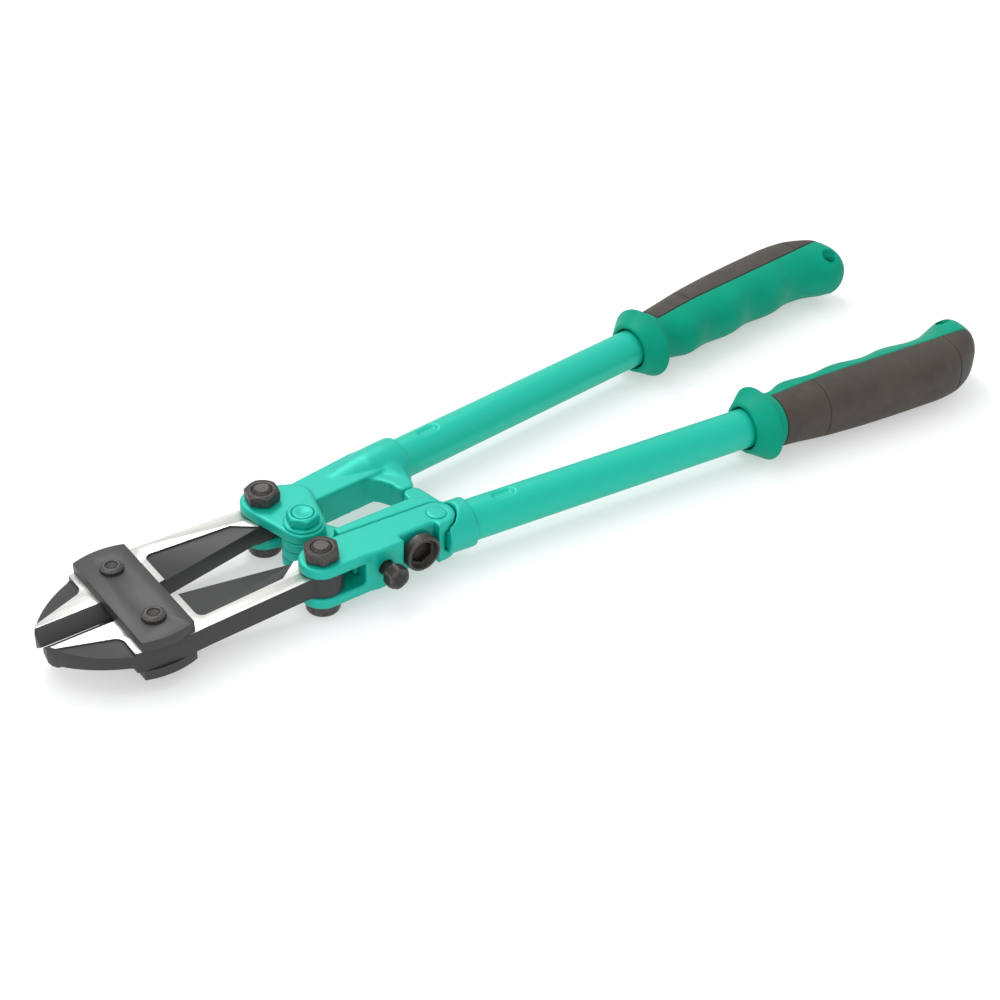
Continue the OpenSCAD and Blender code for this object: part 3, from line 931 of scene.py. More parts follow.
def grip_section(u):
    """Outer reach, inner reach, half height and squareness of the outer and inner half."""
    mouth = grip_mouth()
    rise = 1 - smooth_step(mouth + 14, mouth + 44, u)
    height = HALF_HEIGHT - (HALF_HEIGHT - NECK_HALF_HEIGHT) * rise
    fall = np.clip((u - (GRIP_END - 10)) / 10.4, 0, 1)
    height = height * np.sqrt(1 - fall**2)
    lobe = smooth_step(GRIP_END - 27, GRIP_END - 10, u)
    tail = smooth_step(GRIP_END - 8, GRIP_END, u)
    n_out = 2.2 + 0.5 * smooth_step(mouth + 16, mouth + 66, u) - 0.4 * tail
    n_in = 2.05 + 0.25 * lobe - 0.1 * tail
    return back_edge(u), palm_edge(u), height, n_out, n_in


def polar(out, inn, height, n_out, n_in, angles):
    """Distance from a section's centre to its outline at the given angles."""
    c, s = np.cos(angles), np.sin(angles)
    reach = np.where(c > 0, out, inn)
    n = np.where(c > 0, n_out, n_in)
    return (np.abs(c / reach) ** n + np.abs(s / height) ** n) ** (-1 / n)


def grip_stations():
    """Places along a grip behind its flange, close together where the cover starts."""
    cover = grip_mouth() + COVER_FROM_MOUTH
    marks = cover + np.array([-1.2, -0.6, -0.35, -0.2, -0.1, 0, 0.05, 0.4])
    body = np.linspace(cover + 2, GRIP_END - 12, 52)
    end = GRIP_END - 12 * (1 - np.sin(np.linspace(0.06, 1, 22) * math.pi / 2))
    return np.concatenate([marks, body, end])


def seam_of(centre, section):
    """Angle and distance at which the upper side of a section crosses the split line."""
    low, high = 0.0, math.pi
    for _ in range(40):
        middle = (low + high) / 2
        r = polar(*section, np.array([middle]))[0]
        if centre + r * math.cos(middle) > SPLIT_V:
            low = middle
        else:
            high = middle
    angle = (low + high) / 2
    return angle, float(polar(*section, np.array([angle]))[0])


def grip_frame(u):
    """Centre of a section, which leans inward near the end, and the section seen from there."""
    out, inn, height, n_out, n_in = (float(a) for a in grip_section(np.array(float(u))))
    centre = NOSE_V * float(smooth_step(GRIP_END - 22, GRIP_END - 3, u))
    least = 0.4
    reaches = (max(reach, least) for reach in (out - centre, inn + centre, height))
    return centre, (*reaches, n_out, n_in)


def spread(seam, scale):
    """Angles round a section, with its two seams at fixed places in the list, and how many of
    them lie on the hard side."""
    step = SEAM_STEPS / scale
    green = 2 * math.pi - 2 * seam
    inner = np.linspace(step[-1], green - step[-1], GRIP_COUNT - 2 * len(step) - 38)
    hard = seam + np.concatenate([step, inner[1:-1], green - step[::-1]])
    under_cover = np.linspace(-seam, seam, 42)[1:-1]
    under_cover[0], under_cover[-1] = -seam + 0.05 / scale, seam - 0.05 / scale
    return np.concatenate([hard, under_cover + 2 * math.pi]), len(hard)


def hang_hole(side):
    """Cutter for the hang hole, flared where it leaves the grip."""
    _, inn, height, _, n_in = (float(a) for a in grip_section(np.array(HANG_U)))
    top = height * (1 - (-HANG_V / inn) ** n_in) ** (1 / n_in)
    flare = [(top - 1.2, 0), (top - 0.5, 0.25), (top + 0.6, 1.1), (20, 2.2)]
    profile = [(-z, HANG_R + more) for z, more in reversed(flare)]
    profile += [(z, HANG_R + more) for z, more in flare]
    place = on_handle(side, HANG_U, HANG_V, 0)
    return clean(new_object("hang_hole_cutter", *loft(turned(profile, 48, place))))


class CUTTERS_OT_grips(bpy.types.Operator):
    """Builds the hard grips with their guard flanges, swells and hang holes"""

    bl_idname = "cutters.grips"
    bl_label = "Hard Grips"

    def execute(self, context):
        plastic = ready("moulded_grip", moulded_grip)
        mouth = grip_mouth()
        cover = mouth + COVER_FROM_MOUTH
        steps = len(SEAM_STEPS)
        bore = (
            (TUBE_END + 0.1, TUBE_R + 0.1),
            (mouth + 5, TUBE_R + 0.1),
            (mouth + 5, TUBE_R + 0.95),
            (mouth + 0.6, TUBE_R + 0.95),
            (mouth + 0.05, TUBE_R + 1.25),
        )
        for label, side in SIDES.items():
            seam, _ = seam_of(*grip_frame(cover))
            angles, hard_count = spread(seam, 13.0)
            rings = [handle_ring(side, u, r, angles) for u, r in bore]
            for du, wide, high in FLANGE:
                r = polar(wide, wide, high, 2.1, 2.1, angles)
                rings.append(handle_ring(side, mouth + du, r, angles))
            for u in grip_stations():
                centre, section = grip_frame(u)
                seam, scale = seam_of(centre, section)
                angles, _ = spread(seam, max(scale, 4.0))
                away = np.full(len(angles), 9.0)
                away[:steps] = SEAM_STEPS
                away[hard_count - steps : hard_count] = SEAM_STEPS[::-1]
                sink = 0.35 * (1 - smooth_step(0.0, 0.5, away))
                sink[hard_count:] = 1.0
                covered = float(smooth_step(cover - 0.3, cover, u))
                tip = 1 - 0.8 * float(smooth_step(GRIP_END - 3, GRIP_END, u))
                r = polar(*section, angles) - sink * covered * tip
                rings.append(handle_ring(side, u, r, angles, centre))
            last = rings[-1]
            middle = last.mean(0)
            rings.append(middle + (last - middle) * 0.5 + (0.06, 0, 0))
            piece = clean(new_object(f"grip_core_{label}_moulded", *loft(rings)))
            cut(piece, hang_hole(side))
            body = f"{label}_handle"
            finished(piece, body, plastic, f"grip_core_{label}", sharp=50)
        return {"FINISHED"}


def shell(outer, inner):
    """Points and faces of a closed shell between two open skins of equal rows."""
    outer, inner = np.array(outer), np.array(inner)
    m, n = outer.shape[:2]
    verts = np.concatenate([outer.reshape(-1, 3), inner.reshape(-1, 3)])
    faces = []
    for i in range(m - 1):
        for j in range(n - 1):
            a = i * n + j
            b = m * n + a
            faces += [(a, a + 1, a + n + 1, a + n), (b, b + n, b + n + 1, b + 1)]
    last = (m - 1) * n
    rim = [(i * n, (i + 1) * n) for i in range(m - 1)]
    rim += [(last + j, last + j + 1) for j in range(n - 1)]
    rim += [((i + 1) * n + n - 1, i * n + n - 1) for i in range(m - 1)]
    rim += [(j + 1, j) for j in range(n - 1)]
    faces += [(a, b, b + m * n, a + m * n) for a, b in rim]
    return verts, faces


class CUTTERS_OT_covers(bpy.types.Operator):
    """Builds the soft covers on the outer halves of the grips"""

    bl_idname = "cutters.covers"
    bl_label = "Soft Covers"

    def execute(self, context):
        sizes = context.scene.cutter_sizes
        rubber = ready("soft_cover", soft_cover)
        rise, groove = sizes.cover_rise * MM, sizes.groove_depth * MM
        mouth = grip_mouth()
        start = mouth + COVER_FROM_MOUTH + 0.12
        grooves = (mouth + 38, GRIP_END - 22)
        marks = [start, start + 0.08, start + 0.2, start + 0.4, start + 0.7, start + 1.4]
        beside = (-1.2, -0.5, -0.36, -0.24, -0.12, 0, 0.12, 0.24, 0.36, 0.5, 1.2)
        marks += [g + d for g in grooves for d in beside]
        body = [
            u
            for u in np.linspace(start + 3, GRIP_END - 12, 46)
            if all(abs(u - g) > 1.5 for g in grooves)
        ]
        end = GRIP_END - 12 * (1 - np.sin(np.linspace(0.03, 0.985, 24) * math.pi / 2))
        stations = sorted([*marks, *body, *end])
        edge = np.array([0.1, 0.16, 0.26, 0.42, 0.65, 1.0, 1.8, 3.2])
        away = np.concatenate([edge, np.full(60, 9.0), edge[::-1]])
        buried = np.clip(1 - (away - 0.1) / 0.5, 0, 1)
        side_roll = np.sqrt(np.clip(1 - buried**2, 0, 1))
        for label, side in SIDES.items():
            outer, inner = [], []
            for u in stations:
                centre, section = grip_frame(u)
                seam, scale = seam_of(centre, section)
                step = np.minimum(edge / max(scale, 3.0), seam * np.linspace(0.04, 0.5, len(edge)))
                middle = np.linspace(-seam + step[-1], seam - step[-1], 62)
                angles = np.concatenate([-seam + step, middle[1:-1], seam - step[::-1]])
                r = polar(*section, angles)
                front = np.clip((u - start) / 0.6, 0, 1)
                front_roll = math.sqrt(max(0.0, 1 - (1 - front) ** 2))
                roll = np.minimum(side_roll, front_roll)
                lift = rise * roll - 0.75 * (1 - roll)
                for g in grooves:
                    lift = lift - groove * max(0.0, 1 - (abs(u - g) / 0.4) ** 2)
                fade = 1 - 0.6 * float(smooth_step(GRIP_END - 1.5, GRIP_END, u))
                outer.append(handle_ring(side, u, r + lift * fade, angles, centre))
                under = min(u, GRIP_END - 1.5)
                inner.append(handle_ring(side, under, r - 1.6 * fade, angles, centre))
            piece = clean(new_object(f"grip_cover_{label}_soft", *shell(outer, inner)))
            node = f"grip_cover_{label}"
            finished(piece, f"{label}_handle", rubber, node, sharp=60)
        return {"FINISHED"}


# ---- jaws and straps ----


class CUTTERS_OT_jaws(bpy.types.Operator):
    """Builds the forged jaws with broken edges and bright ground lands"""

    bl_idname = "cutters.jaws"
    bl_label = "Jaws"

    def execute(self, context):
        sizes = context.scene.cutter_sizes
        steel = ready("forged_steel", forged_steel)
        ground = ready("ground_land", ground_land)
        for label in SIDES:
            node = f"jaw_{label}"
            low, high = node_box(node)
            piece = packed_copy(f"jaw_{label}_forged", node, flatten=True)
            bevelled(piece, sizes.jaw_edge * MM, 2, 24)
            half = (high[2] - low[2]) / 2
            middle = (high[2] + low[2]) / 2
            land = [
                int(abs(p.center[2] - middle) > half - 0.1 and abs(p.normal[2]) > 0.96)
                for p in piece.data.polygons
            ]
            finished(piece, f"{label}_jaw", steel, node, sharp=32)
            piece.data.materials.append(ground)
            piece.data.polygons.foreach_set("material_index", land)
        return {"FINISHED"}


class CUTTERS_OT_straps(bpy.types.Operator):
    """Builds the strap plates with bevelled edges"""

    bl_idname = "cutters.straps"
    bl_label = "Strap Plates"

    def execute(self, context):
        sizes = context.scene.cutter_sizes
        steel = ready("strap_steel", strap_steel)
        for node in ("strap_top", "strap_bottom"):
            piece = packed_copy(f"{node}_plate", node, flatten=True)
            bevelled(piece, sizes.strap_edge * MM, 3, 40)
            edge_mask(piece)
            finished(piece, "straps", steel, node, sharp=32)
        return {"FINISHED"}


# ---- fasteners ----


class Growth:
    """Small helper that builds a node tree which grows a shape on every given point."""

    def __init__(self, name, numbers):
        self.tree = bpy.data.node_groups.new(name, "GeometryNodeTree")
        self.links = self.tree.links
        kinds = {float: "NodeSocketFloat", int: "NodeSocketInt"}
        self.new_input("Places", "NodeSocketGeometry")
        for key, default in numbers.items():
            self.new_input(key, kinds[type(default)]).default_value = default
        self.new_input("Finish", "NodeSocketMaterial")
        self.given = self.tree.nodes.new("NodeGroupInput").outputs
        self.numbers = [self.given[key] for key in numbers]

    def new_input(self, name, kind):
        return self.tree.interface.new_socket(name, in_out="INPUT", socket_type=kind)

    def add(self, kind, settings=None, **inputs):
        """Adds a node, with its settings, and its inputs linked or set."""
        node = self.tree.nodes.new(kind)
        for key, value in (settings or {}).items():
            setattr(node, key, value)
        for key, value in inputs.items():
            feed(self.links, value, node.inputs[key.replace("_", " ")])
        return node

    def paired(self, node, a, b):
        """Feeds a node's first two inputs and gives its first output."""
        feed(self.links, a, node.inputs[0])
        feed(self.links, b, node.inputs[1])
        return node.outputs[0]

    def maths(self, operation, a, b):
        return self.paired(self.add("ShaderNodeMath", {"operation": operation}), a, b)

    def moved(self, geometry, z, turn=0.0):
        """Geometry turned over by an angle and lifted by z."""
        lift = self.add("ShaderNodeCombineXYZ", Z=z).outputs[0]
        node = self.add("GeometryNodeTransform", Geometry=geometry, Translation=lift)
        node.inputs["Rotation"].default_value = (turn, 0, 0)
        return node.outputs["Geometry"]

    def combined(self, operation, base, *others):
        """Exact boolean of meshes, where an intersection has no base."""
        settings = {"operation": operation, "solver": "EXACT"}
        node = self.add("GeometryNodeMeshBoolean", settings)
        if base is not None:
            self.links.new(base, node.inputs["Mesh 1"])
        for mesh in others:
            self.links.new(mesh, node.inputs["Mesh 2"])
        return node.outputs["Mesh"]

    def placed(self, shape, rotation=None):
        """Ends the tree: the shape on every place, made real and given its finish."""
        points = self.add(
            "GeometryNodeInstanceOnPoints", Points=self.given["Places"], Instance=shape
        )
        if rotation is not None:
            self.links.new(rotation, points.inputs["Rotation"])
        real = self.add("GeometryNodeRealizeInstances", Geometry=points.outputs[0])
        coat = self.add(
            "GeometryNodeSetMaterial", Geometry=real.outputs[0], Material=self.given["Finish"]
        )
        self.tree.interface.new_socket(
            "Shapes", in_out="OUTPUT", socket_type="NodeSocketGeometry"
        )
        self.add("NodeGroupOutput", Shapes=coat.outputs[0])
        return self.tree


def nut_tree():
    """Hexagon nuts or heads with chamfered corners, one on each point."""
    name = "Chamfered Hexagons"
    if name in bpy.data.node_groups:
        return bpy.data.node_groups[name]
    numbers = {"Across Flats": 13.0, "Height": 5.0, "Bore Radius": 4.0, "Chamfer Share": 0.94}
    g = Growth(name, numbers)
    flats, height, bore, share = g.numbers
    chamfer_slope = 1.732
    prism = g.add(
        "GeometryNodeMeshCylinder",
        Vertices=6,
        Radius=g.maths("DIVIDE", flats, math.sqrt(3)),
        Depth=height,
    )
    top = g.maths("MULTIPLY", g.maths("MULTIPLY", flats, 0.5), share)
    reach = g.maths("MULTIPLY", g.maths("ADD", height, 1.0), chamfer_slope)
    cone = g.add(
        "GeometryNodeMeshCone",
        Vertices=96,
        Radius_Top=g.maths("SUBTRACT", top, 0.52),
        Radius_Bottom=g.maths("ADD", top, reach),
        Depth=g.maths("ADD", height, 1.3),
    )
    nut = g.combined(
        "INTERSECT",
        None,
        g.moved(prism.outputs["Mesh"], g.maths("MULTIPLY", height, 0.5)),
        g.moved(cone.outputs["Mesh"], -1.0),
        g.moved(cone.outputs["Mesh"], g.maths("ADD", height, 1.0), math.pi),
    )
    drill = g.add(
        "GeometryNodeMeshCylinder",
        Vertices=64,
        Radius=bore,
        Depth=g.maths("MULTIPLY", height, 3.0),
    )
    sink = g.add(
        "GeometryNodeMeshCone",
        Vertices=64,
        Radius_Bottom=g.maths("SUBTRACT", bore, 1.0),
        Radius_Top=g.maths("ADD", bore, 1.0),
        Depth=2.0,
    )
    sunk = g.moved(sink.outputs["Mesh"], g.maths("SUBTRACT", height, 1.5))
    bored = g.combined("DIFFERENCE", nut, drill.outputs["Mesh"], sunk)
    compare = g.add("FunctionNodeCompare", {"data_type": "FLOAT", "operation": "GREATER_THAN"})
    choice = {"Switch": g.paired(compare, bore, 0.01), "False": nut, "True": bored}
    pick = g.add("GeometryNodeSwitch", {"input_type": "GEOMETRY"}, **choice)
    turn = g.add("GeometryNodeInputNamedAttribute", {"data_type": "FLOAT"}, Name="turn")
    spin = g.add("ShaderNodeCombineXYZ", Z=turn.outputs["Attribute"])
    return g.placed(pick.outputs["Output"], spin.outputs[0])


def thread_tree():
    """Threaded bolt ends, one on each point, built from a stack of ridges."""
    name = "Bolt Threads"
    if name in bpy.data.node_groups:
        return bpy.data.node_groups[name]
    sides = 48
    g = Growth(name, {"Radius": 4.0, "Pitch": 1.25, "Depth": 0.6, "Turns": 4})
    radius, pitch, depth, turns = g.numbers

    def frustum(bottom, top, tall, z):
        cone = g.add(
            "GeometryNodeMeshCone",
            {"fill_type": "NONE"},
            Vertices=sides,
            Radius_Bottom=bottom,
            Radius_Top=top,
            Depth=tall,
        )
        return g.moved(cone.outputs["Mesh"], z)

    def disc(r, z):
        circle_mesh = g.add(
            "GeometryNodeMeshCircle", {"fill_type": "NGON"}, Vertices=sides, Radius=r
        )
        return g.moved(circle_mesh.outputs["Mesh"], z)

    def join(*parts):
        node = g.add("GeometryNodeJoinGeometry")
        for part in parts:
            g.links.new(part, node.inputs["Geometry"])
        return node.outputs["Geometry"]

    core = g.maths("SUBTRACT", radius, depth)
    half = g.maths("MULTIPLY", pitch, 0.5)
    ridge = join(frustum(core, radius, half, 0.0), frustum(radius, core, half, half))
    step = g.add("ShaderNodeCombineXYZ", Z=pitch)
    line = g.add("GeometryNodeMeshLine", Count=turns, Offset=step.outputs[0])
    stack = g.add(
        "GeometryNodeInstanceOnPoints", Points=line.outputs["Mesh"], Instance=ridge
    )
    solid = g.add("GeometryNodeRealizeInstances", Geometry=stack.outputs["Instances"])
    top = g.maths("MULTIPLY", pitch, turns)
    point = g.maths("SUBTRACT", core, 0.5)
    chamfer = g.maths("MULTIPLY", pitch, 0.3)
    whole = join(
        solid.outputs["Geometry"],
        frustum(core, point, chamfer, top),
        disc(point, g.maths("ADD", top, chamfer)),
        disc(core, 0.0),
    )
    weld = g.add("GeometryNodeMergeByDistance", Geometry=whole, Distance=0.002)
    return g.placed(weld.outputs["Geometry"])


def grown(name, tree, places, turns=None, **values):
    """What a node tree makes on the given places, as a plain mesh."""
    piece = new_object(name, places, [])
    layer = piece.data.attributes.new("turn", "FLOAT", "POINT")
    layer.data.foreach_set("value", turns or [0.0] * len(places))
    mod = piece.modifiers.new("grow", "NODES")
    mod.node_group = tree
    keys = {item.name: item.identifier for item in tree.interface.items_tree}
    for key, value in values.items():
        mod[keys[key.replace("_", " ")]] = value
    settle(piece)
    if not piece.data.polygons:
        raise RuntimeError(f"{tree.name} made nothing for {name}")
    extra = piece.data.attributes.get("turn")
    if extra:
        piece.data.attributes.remove(extra)
    return clean(piece)


def hexagon(name, place, turn, flats, height, bore, finish):
    """A chamfered nut, or a bolt's head where bore is 0, standing on a place."""
    piece = grown(
        name,
        nut_tree(),
        [place],
        [turn],
        Across_Flats=flats,
        Height=height,
        Bore_Radius=bore,
        Finish=finish,
    )
    bevelled(piece, 0.25, 2, 25)
    edge_mask(piece)
    return piece


def thread(place, pitch, finish):
    """The threaded end of a jaw or strap bolt, rising from a place."""
    return grown(
        "thread",
        thread_tree(),
        [place],
        Radius=THREAD_R,
        Pitch=pitch,
        Depth=THREAD_DEPTH,
        Turns=THREAD_TURNS,
        Finish=finish,
    )


class CUTTERS_OT_nuts(bpy.types.Operator):
    """Builds the jaw nuts, the pivot nut and the strap nuts"""

    bl_idname = "cutters.nuts"
    bl_label = "Nuts"

    def execute(self, context):
        dark = ready("dark_phosphate", dark_phosphate)
        paint = ready("cast_paint", cast_paint)
        jobs = (
            ("jaw_nut_left", "left_handle", dark, "dark_fastener", 0.35),
            ("jaw_nut_right", "adjuster", dark, "dark_fastener", 0.1),
            ("pivot_nut", "left_handle", paint, "cast_paint", 0.25),
            ("strap_nut_left", "straps", dark, "strap_steel", 0.2),
            ("strap_nut_right", "straps", dark, "strap_steel", 0.5),
        )
        for node, body, finish, slot, turn in jobs:
            low, high = node_box(node)
            mid, size = (low + high) / 2, high - low
            place = (mid[0], mid[1], low[2])
            bore = PIVOT_R if node == "pivot_nut" else NUT_BORE_R
            flats = min(size[0], size[1])
            piece = hexagon(f"{node}_hex", place, turn, flats, size[2], bore, finish)
            finished(piece, body, finish, node, sharp=35)
        return {"FINISHED"}


class CUTTERS_OT_bolts(bpy.types.Operator):
    """Builds the jaw bolts, the pivot bolt and the strap bolts with threaded ends"""

    bl_idname = "cutters.bolts"
    bl_label = "Bolts"

    def execute(self, context):
        sizes = context.scene.cutter_sizes
        dark = ready("dark_phosphate", dark_phosphate)
        paint = ready("cast_paint", cast_paint)
        pitch = sizes.thread_pitch * MM
        thread_length = pitch * (THREAD_TURNS + 0.3)
        seat = node_box("casting_left")[0][2]
        for node, body, place in (
            ("jaw_bolt_left", "left_handle", LEFT_JAW_BOLT),
            ("jaw_bolt_right", "adjuster", RIGHT_JAW_BOLT),
        ):
            low, high = (corner[2] for corner in node_box(node))
            profile = [
                (low, 5.2),
                (low + 0.5, 6.6),
                (low + 1.2, 7.0),
                (seat - 0.6, 7.0),
                (seat, 6.8),
                (seat, BOLT_R),
                (high - 4.4, BOLT_R),
            ]
            shank = turned_piece("shank", profile, place)
            end = thread((place[0], place[1], high - thread_length - 0.1), pitch, dark)
            piece = joined([shank, end], f"{node}_turned")
            edge_mask(piece)
            finished(piece, body, dark, node, sharp=30)

        low, top = (corner[2] for corner in node_box("pivot_bolt"))
        place = (PIVOT[0], PIVOT[1], low)
        head = hexagon("pivot_head", place, 0.4, PIVOT_HEAD_FLATS, seat - low, 0.0, paint)
        profile = [
            (seat, PIVOT_R),
            (top - 1.6, PIVOT_R),
            (top - 0.9, 4.2),
            (top - 0.75, 3.6),
            (top - 1.1, 2.6),
            (top - 1.3, 0.6),
        ]
        piece = joined([head, turned_piece("shank", profile, PIVOT)], "pivot_bolt_turned")
        keep_edge(piece, 0.0)
        finished(piece, "left_handle", paint, "pivot_bolt", sharp=40)

        plate_top = node_box("strap_top")[1][2]
        for label, place in (("left", LEFT_STRAP_BOLT), ("right", RIGHT_STRAP_BOLT)):
            node = f"strap_bolt_{label}"
            low, top = (corner[2] for corner in node_box(node))
            profile = [
                (low + 3.2, BOLT_R),
                (plate_top - 0.1, BOLT_R),
                (plate_top - 0.1, 4.15),
                (plate_top + 0.02, 4.6),
                (plate_top + 0.6, 4.72),
                (plate_top + 1.2, 4.62),
                (top - 0.35, 4.1),
                (top - 0.05, 3.3),
                (top, 2.9),
                (top - 0.1, 2.6),
                (top - 0.55, 2.35),
                (top - 0.7, 1.8),
                (top - 0.72, 0.6),
            ]
            shank = turned_piece("shank", profile, place)
            # the thread points down from the shank
            end = thread((place[0], place[1], 0.0), pitch, dark)
            lift = Matrix.Translation((0, 0, low + thread_length))
            end.data.transform(lift @ Matrix.Diagonal((1, 1, -1, 1)))
            end.data.flip_normals()
            piece = joined([shank, end], f"{node}_turned")
            edge_mask(piece)
            finished(piece, "straps", dark, node, sharp=30)
        return {"FINISHED"}


class CUTTERS_OT_small_turned(bpy.types.Operator):
    """Builds the pivot washer and the rivet of the adjuster link"""

    bl_idname = "cutters.small_turned"
    bl_label = "Washer and Rivet"

    def execute(self, context):
        paint = ready("cast_paint", cast_paint)
        low, high = node_box("pivot_washer")
        r = (high[0] - low[0]) / 2
        low, high = low[2], high[2]
        bore = PIVOT_R + 0.1
        profile = [
            (low, bore),
            (low, r - 0.1),
            (low + 0.3, r),
            (high - 0.4, r),
            (high - 0.1, r - 0.25),
            (high, r - 0.6),
            (high, bore),
        ]
        rings = turned(profile, 96, PIVOT * (1, 1, 0))
        piece = clean(new_object("pivot_washer_turned", *loft(rings, "loop", None)))
        keep_edge(piece, 0.0)
        finished(piece, "left_handle", paint, "pivot_washer", sharp=40)

        low, high = (corner[2] for corner in node_box("link_rivet"))
        profile = [
            (low, 3.2),
            (low + 0.3, 4.15),
            (low + 0.5, 4.2),
            (low + 0.5, 3.4),
            (high - 0.5, 3.4),
            (high - 0.5, 4.2),
            (high - 0.22, 4.1),
            (high - 0.05, 3.6),
            (high, 2.6),
        ]
        piece = keep_edge(turned_piece("link_rivet_turned", profile, RIVET), 0.0)
        finished(piece, "right_handle", paint, "link_rivet", sharp=40)
        return {"FINISHED"}


class CUTTERS_OT_screws(bpy.types.Operator):
    """Builds the socketed clamp screw and the hexagon adjusting screw"""

    bl_idname = "cutters.screws"
    bl_label = "Clamp and Adjusting Screws"

    def execute(self, context):
        dark = ready("dark_phosphate", dark_phosphate)
        count = 96
        angles = circle(count)
        hexed = hexagon_reach(SCREW_HALF_FLATS, angles)

        low, high = node_box("clamp_screw")
        centre = joint_place("clamp_screw_turn") * (1, 0, 1)
        r = (high[0] - low[0]) / 2
        face = -low[1]
        under = face - 5.6
        outer = [
            (-high[1], 3.8),
            (under, 3.8),
            (under, r - 1.5),
            (under + 1.3, r - 0.15),
            (face - 0.9, r - 0.1),
            (face - 0.3, r - 0.3),
            (face, r - 0.8),
            (face, r - 1.3),
            (face - 0.4, r - 1.6),
            (face - 1.7, r - 2.1),
            (face - 2.0, 5.5),
        ]
        rings = turned(outer, count, centre, "-y")
        for depth, share in ((2.05, 1.03), (2.3, 1.0), (4.6, 1.0), (4.7, 0.8)):
            reach = hexed * share
            y = np.full(count, depth - face)
            rings.append(np.stack([reach * np.cos(angles), y, reach * np.sin(angles)], 1) + centre)
        piece = clean(new_object("clamp_screw_turned", *loft(rings)))
        edge_mask(piece, 40)
        finished(piece, "clamp_screw", dark, "clamp_screw", sharp=32)

        low, high = node_box("adjusting_screw")
        centre = joint_place("adjusting_screw_turn") * (1, 0, 1)
        face = -low[1]
        outer = [
            (-high[1], 2.9),
            (face - 5.0, 2.9),
            (face - 5.0, 4.7),
            (face - 4.7, 5.1),
            (face - 0.8, 5.1),
            (face - 0.3, 4.7),
            (face, 4.2),
            (face - 0.02, 0.6),
        ]
        rings = []
        for ring, (_, r) in zip(turned(outer, count, centre, "-y"), outer):
            squeeze = np.ones((count, 3))
            squeeze[:, ::2] = (np.minimum(hexed, r) / r)[:, None]
            rings.append(centre + (ring - centre) * squeeze)
        piece = clean(new_object("adjusting_screw_turned", *loft(rings)))
        edge_mask(piece, 40)
        finished(piece, "adjusting_screw", dark, "adjusting_screw", sharp=32)
        return {"FINISHED"}


# ---- studio ----

# Turn about the upright, height above the floor and roll, in degrees.
CAMERA_ANGLES = (-37.474, 36.82, 1.998)
CAMERA_AIM = (-0.030193, -0.021656, 0.016)
CAMERA_AWAY = 0.78099


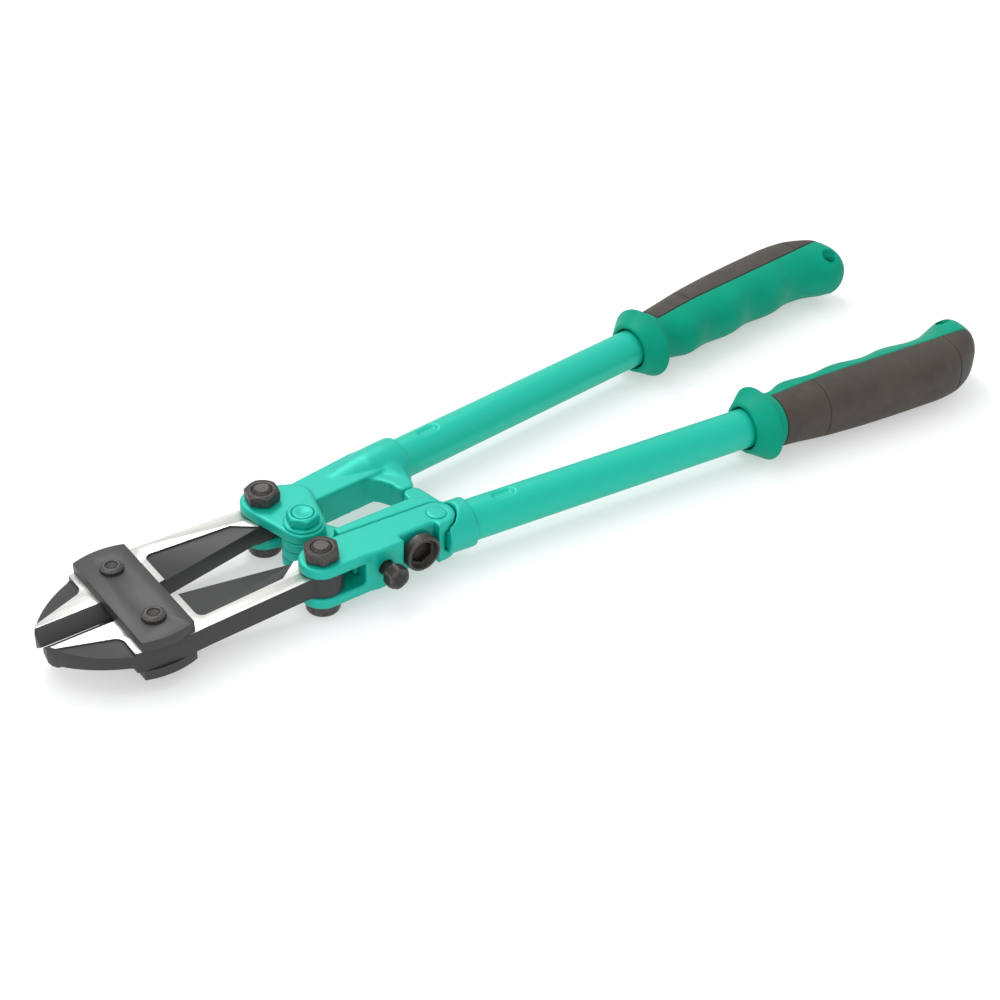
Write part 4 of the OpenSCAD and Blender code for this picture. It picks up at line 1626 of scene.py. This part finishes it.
class CUTTERS_OT_studio(bpy.types.Operator):
    """Lays the pale floor, the soft lights and the camera"""

    bl_idname = "cutters.studio"
    bl_label = "Studio"

    def execute(self, context):
        scene = context.scene
        scene.view_settings.view_transform = "Standard"
        half = 6
        corners = [(-half, -half, 0), (half, -half, 0), (half, half, 0), (-half, half, 0)]
        floor = new_object("floor", corners, [(0, 1, 2, 3)])
        s = Shader("pale_floor")
        s.set(Specular_IOR_Level=0.1, Emission_Color=(1, 1, 1, 1), Emission_Strength=0.42)
        colour = s.mix(s.noise(600, 2.0), (0.56, 0.56, 0.565), (0.58, 0.58, 0.58))
        s.finish(colour, s.ramp(s.noise(400, 2.0), 0, 1, 0.8, 0.9))
        floor.data.materials.append(s.material)

        world = bpy.data.worlds.new("soft_white")
        world.use_nodes = True
        back = world.node_tree.nodes["Background"]
        back.inputs["Color"].default_value = (0.97, 0.985, 1.0, 1)
        back.inputs["Strength"].default_value = 0.92
        scene.world = world

        def softbox(name, place, aim, size, power):
            light = bpy.data.lights.new(name, "AREA")
            light.shape = "RECTANGLE"
            light.size, light.size_y = size
            light.energy = power
            ob = bpy.data.objects.new(name, light)
            scene.collection.objects.link(ob)
            ob.location = place
            way = Vector(aim) - Vector(place)
            ob.rotation_euler = way.to_track_quat("-Z", "Y").to_euler()

        softbox("key", (-0.35, 0.45, 1.5), (0, 0, 0), (1.4, 1.0), 9)
        softbox("fill", (-1.1, -1.0, 0.8), (0, 0, 0.02), (1.0, 1.0), 4)
        softbox("glint", (0.1, 0.75, 0.95), (0, 0, 0.02), (0.3, 0.2), 3.5)

        camera = bpy.data.cameras.new("camera")
        camera.lens = scene.cutter_sizes.lens * MM
        camera.sensor_width = 36
        camera.clip_start, camera.clip_end = 0.05, 20
        ob = bpy.data.objects.new("camera", camera)
        scene.collection.objects.link(ob)
        turn, rise, roll = (math.radians(a) for a in CAMERA_ANGLES)
        level = math.cos(rise)
        back_way = Vector((math.sin(turn) * level, -math.cos(turn) * level, math.sin(rise)))
        right = Vector((math.cos(turn), math.sin(turn), 0))
        up = back_way.cross(right)
        across = math.cos(roll) * right + math.sin(roll) * up
        upward = -math.sin(roll) * right + math.cos(roll) * up
        spin = Matrix((across, upward, back_way)).transposed().to_4x4()
        ob.matrix_world = Matrix.Translation(Vector(CAMERA_AIM) + back_way * CAMERA_AWAY) @ spin
        scene.camera = ob
        return {"FINISHED"}


class CUTTERS_PT_panel(bpy.types.Panel):
    """Lists the building steps and the sizes and colours"""

    bl_idname = "CUTTERS_PT_panel"
    bl_label = "Bolt Cutters"
    bl_space_type = "VIEW_3D"
    bl_region_type = "UI"
    bl_category = "Cutters"

    def draw(self, context):
        layout = self.layout
        for step in STEPS:
            layout.operator(step.bl_idname)
        for group in (context.scene.cutter_sizes, context.scene.cutter_finishes):
            column = layout.column()
            for name in group.__annotations__:
                column.prop(group, name)


STEPS = (
    CUTTERS_OT_studio,
    CUTTERS_OT_castings,
    CUTTERS_OT_tubes,
    CUTTERS_OT_grips,
    CUTTERS_OT_covers,
    CUTTERS_OT_jaws,
    CUTTERS_OT_straps,
    CUTTERS_OT_nuts,
    CUTTERS_OT_bolts,
    CUTTERS_OT_small_turned,
    CUTTERS_OT_screws,
)
CLASSES = (CutterSizes, CutterFinishes, *STEPS, CUTTERS_PT_panel)


def register():
    for item in CLASSES:
        bpy.utils.register_class(item)
    bpy.types.Scene.cutter_sizes = PointerProperty(type=CutterSizes)
    bpy.types.Scene.cutter_finishes = PointerProperty(type=CutterFinishes)


def unregister():
    del bpy.types.Scene.cutter_finishes
    del bpy.types.Scene.cutter_sizes
    for item in reversed(CLASSES):
        bpy.utils.unregister_class(item)


def main():
    register()
    bpy.ops.cutters.studio()
    bpy.ops.cutters.castings()
    bpy.ops.cutters.tubes()
    bpy.ops.cutters.grips()
    bpy.ops.cutters.covers()
    bpy.ops.cutters.jaws()
    bpy.ops.cutters.straps()
    bpy.ops.cutters.nuts()
    bpy.ops.cutters.bolts()
    bpy.ops.cutters.small_turned()
    bpy.ops.cutters.screws()


if __name__ == "__main__":
    main()
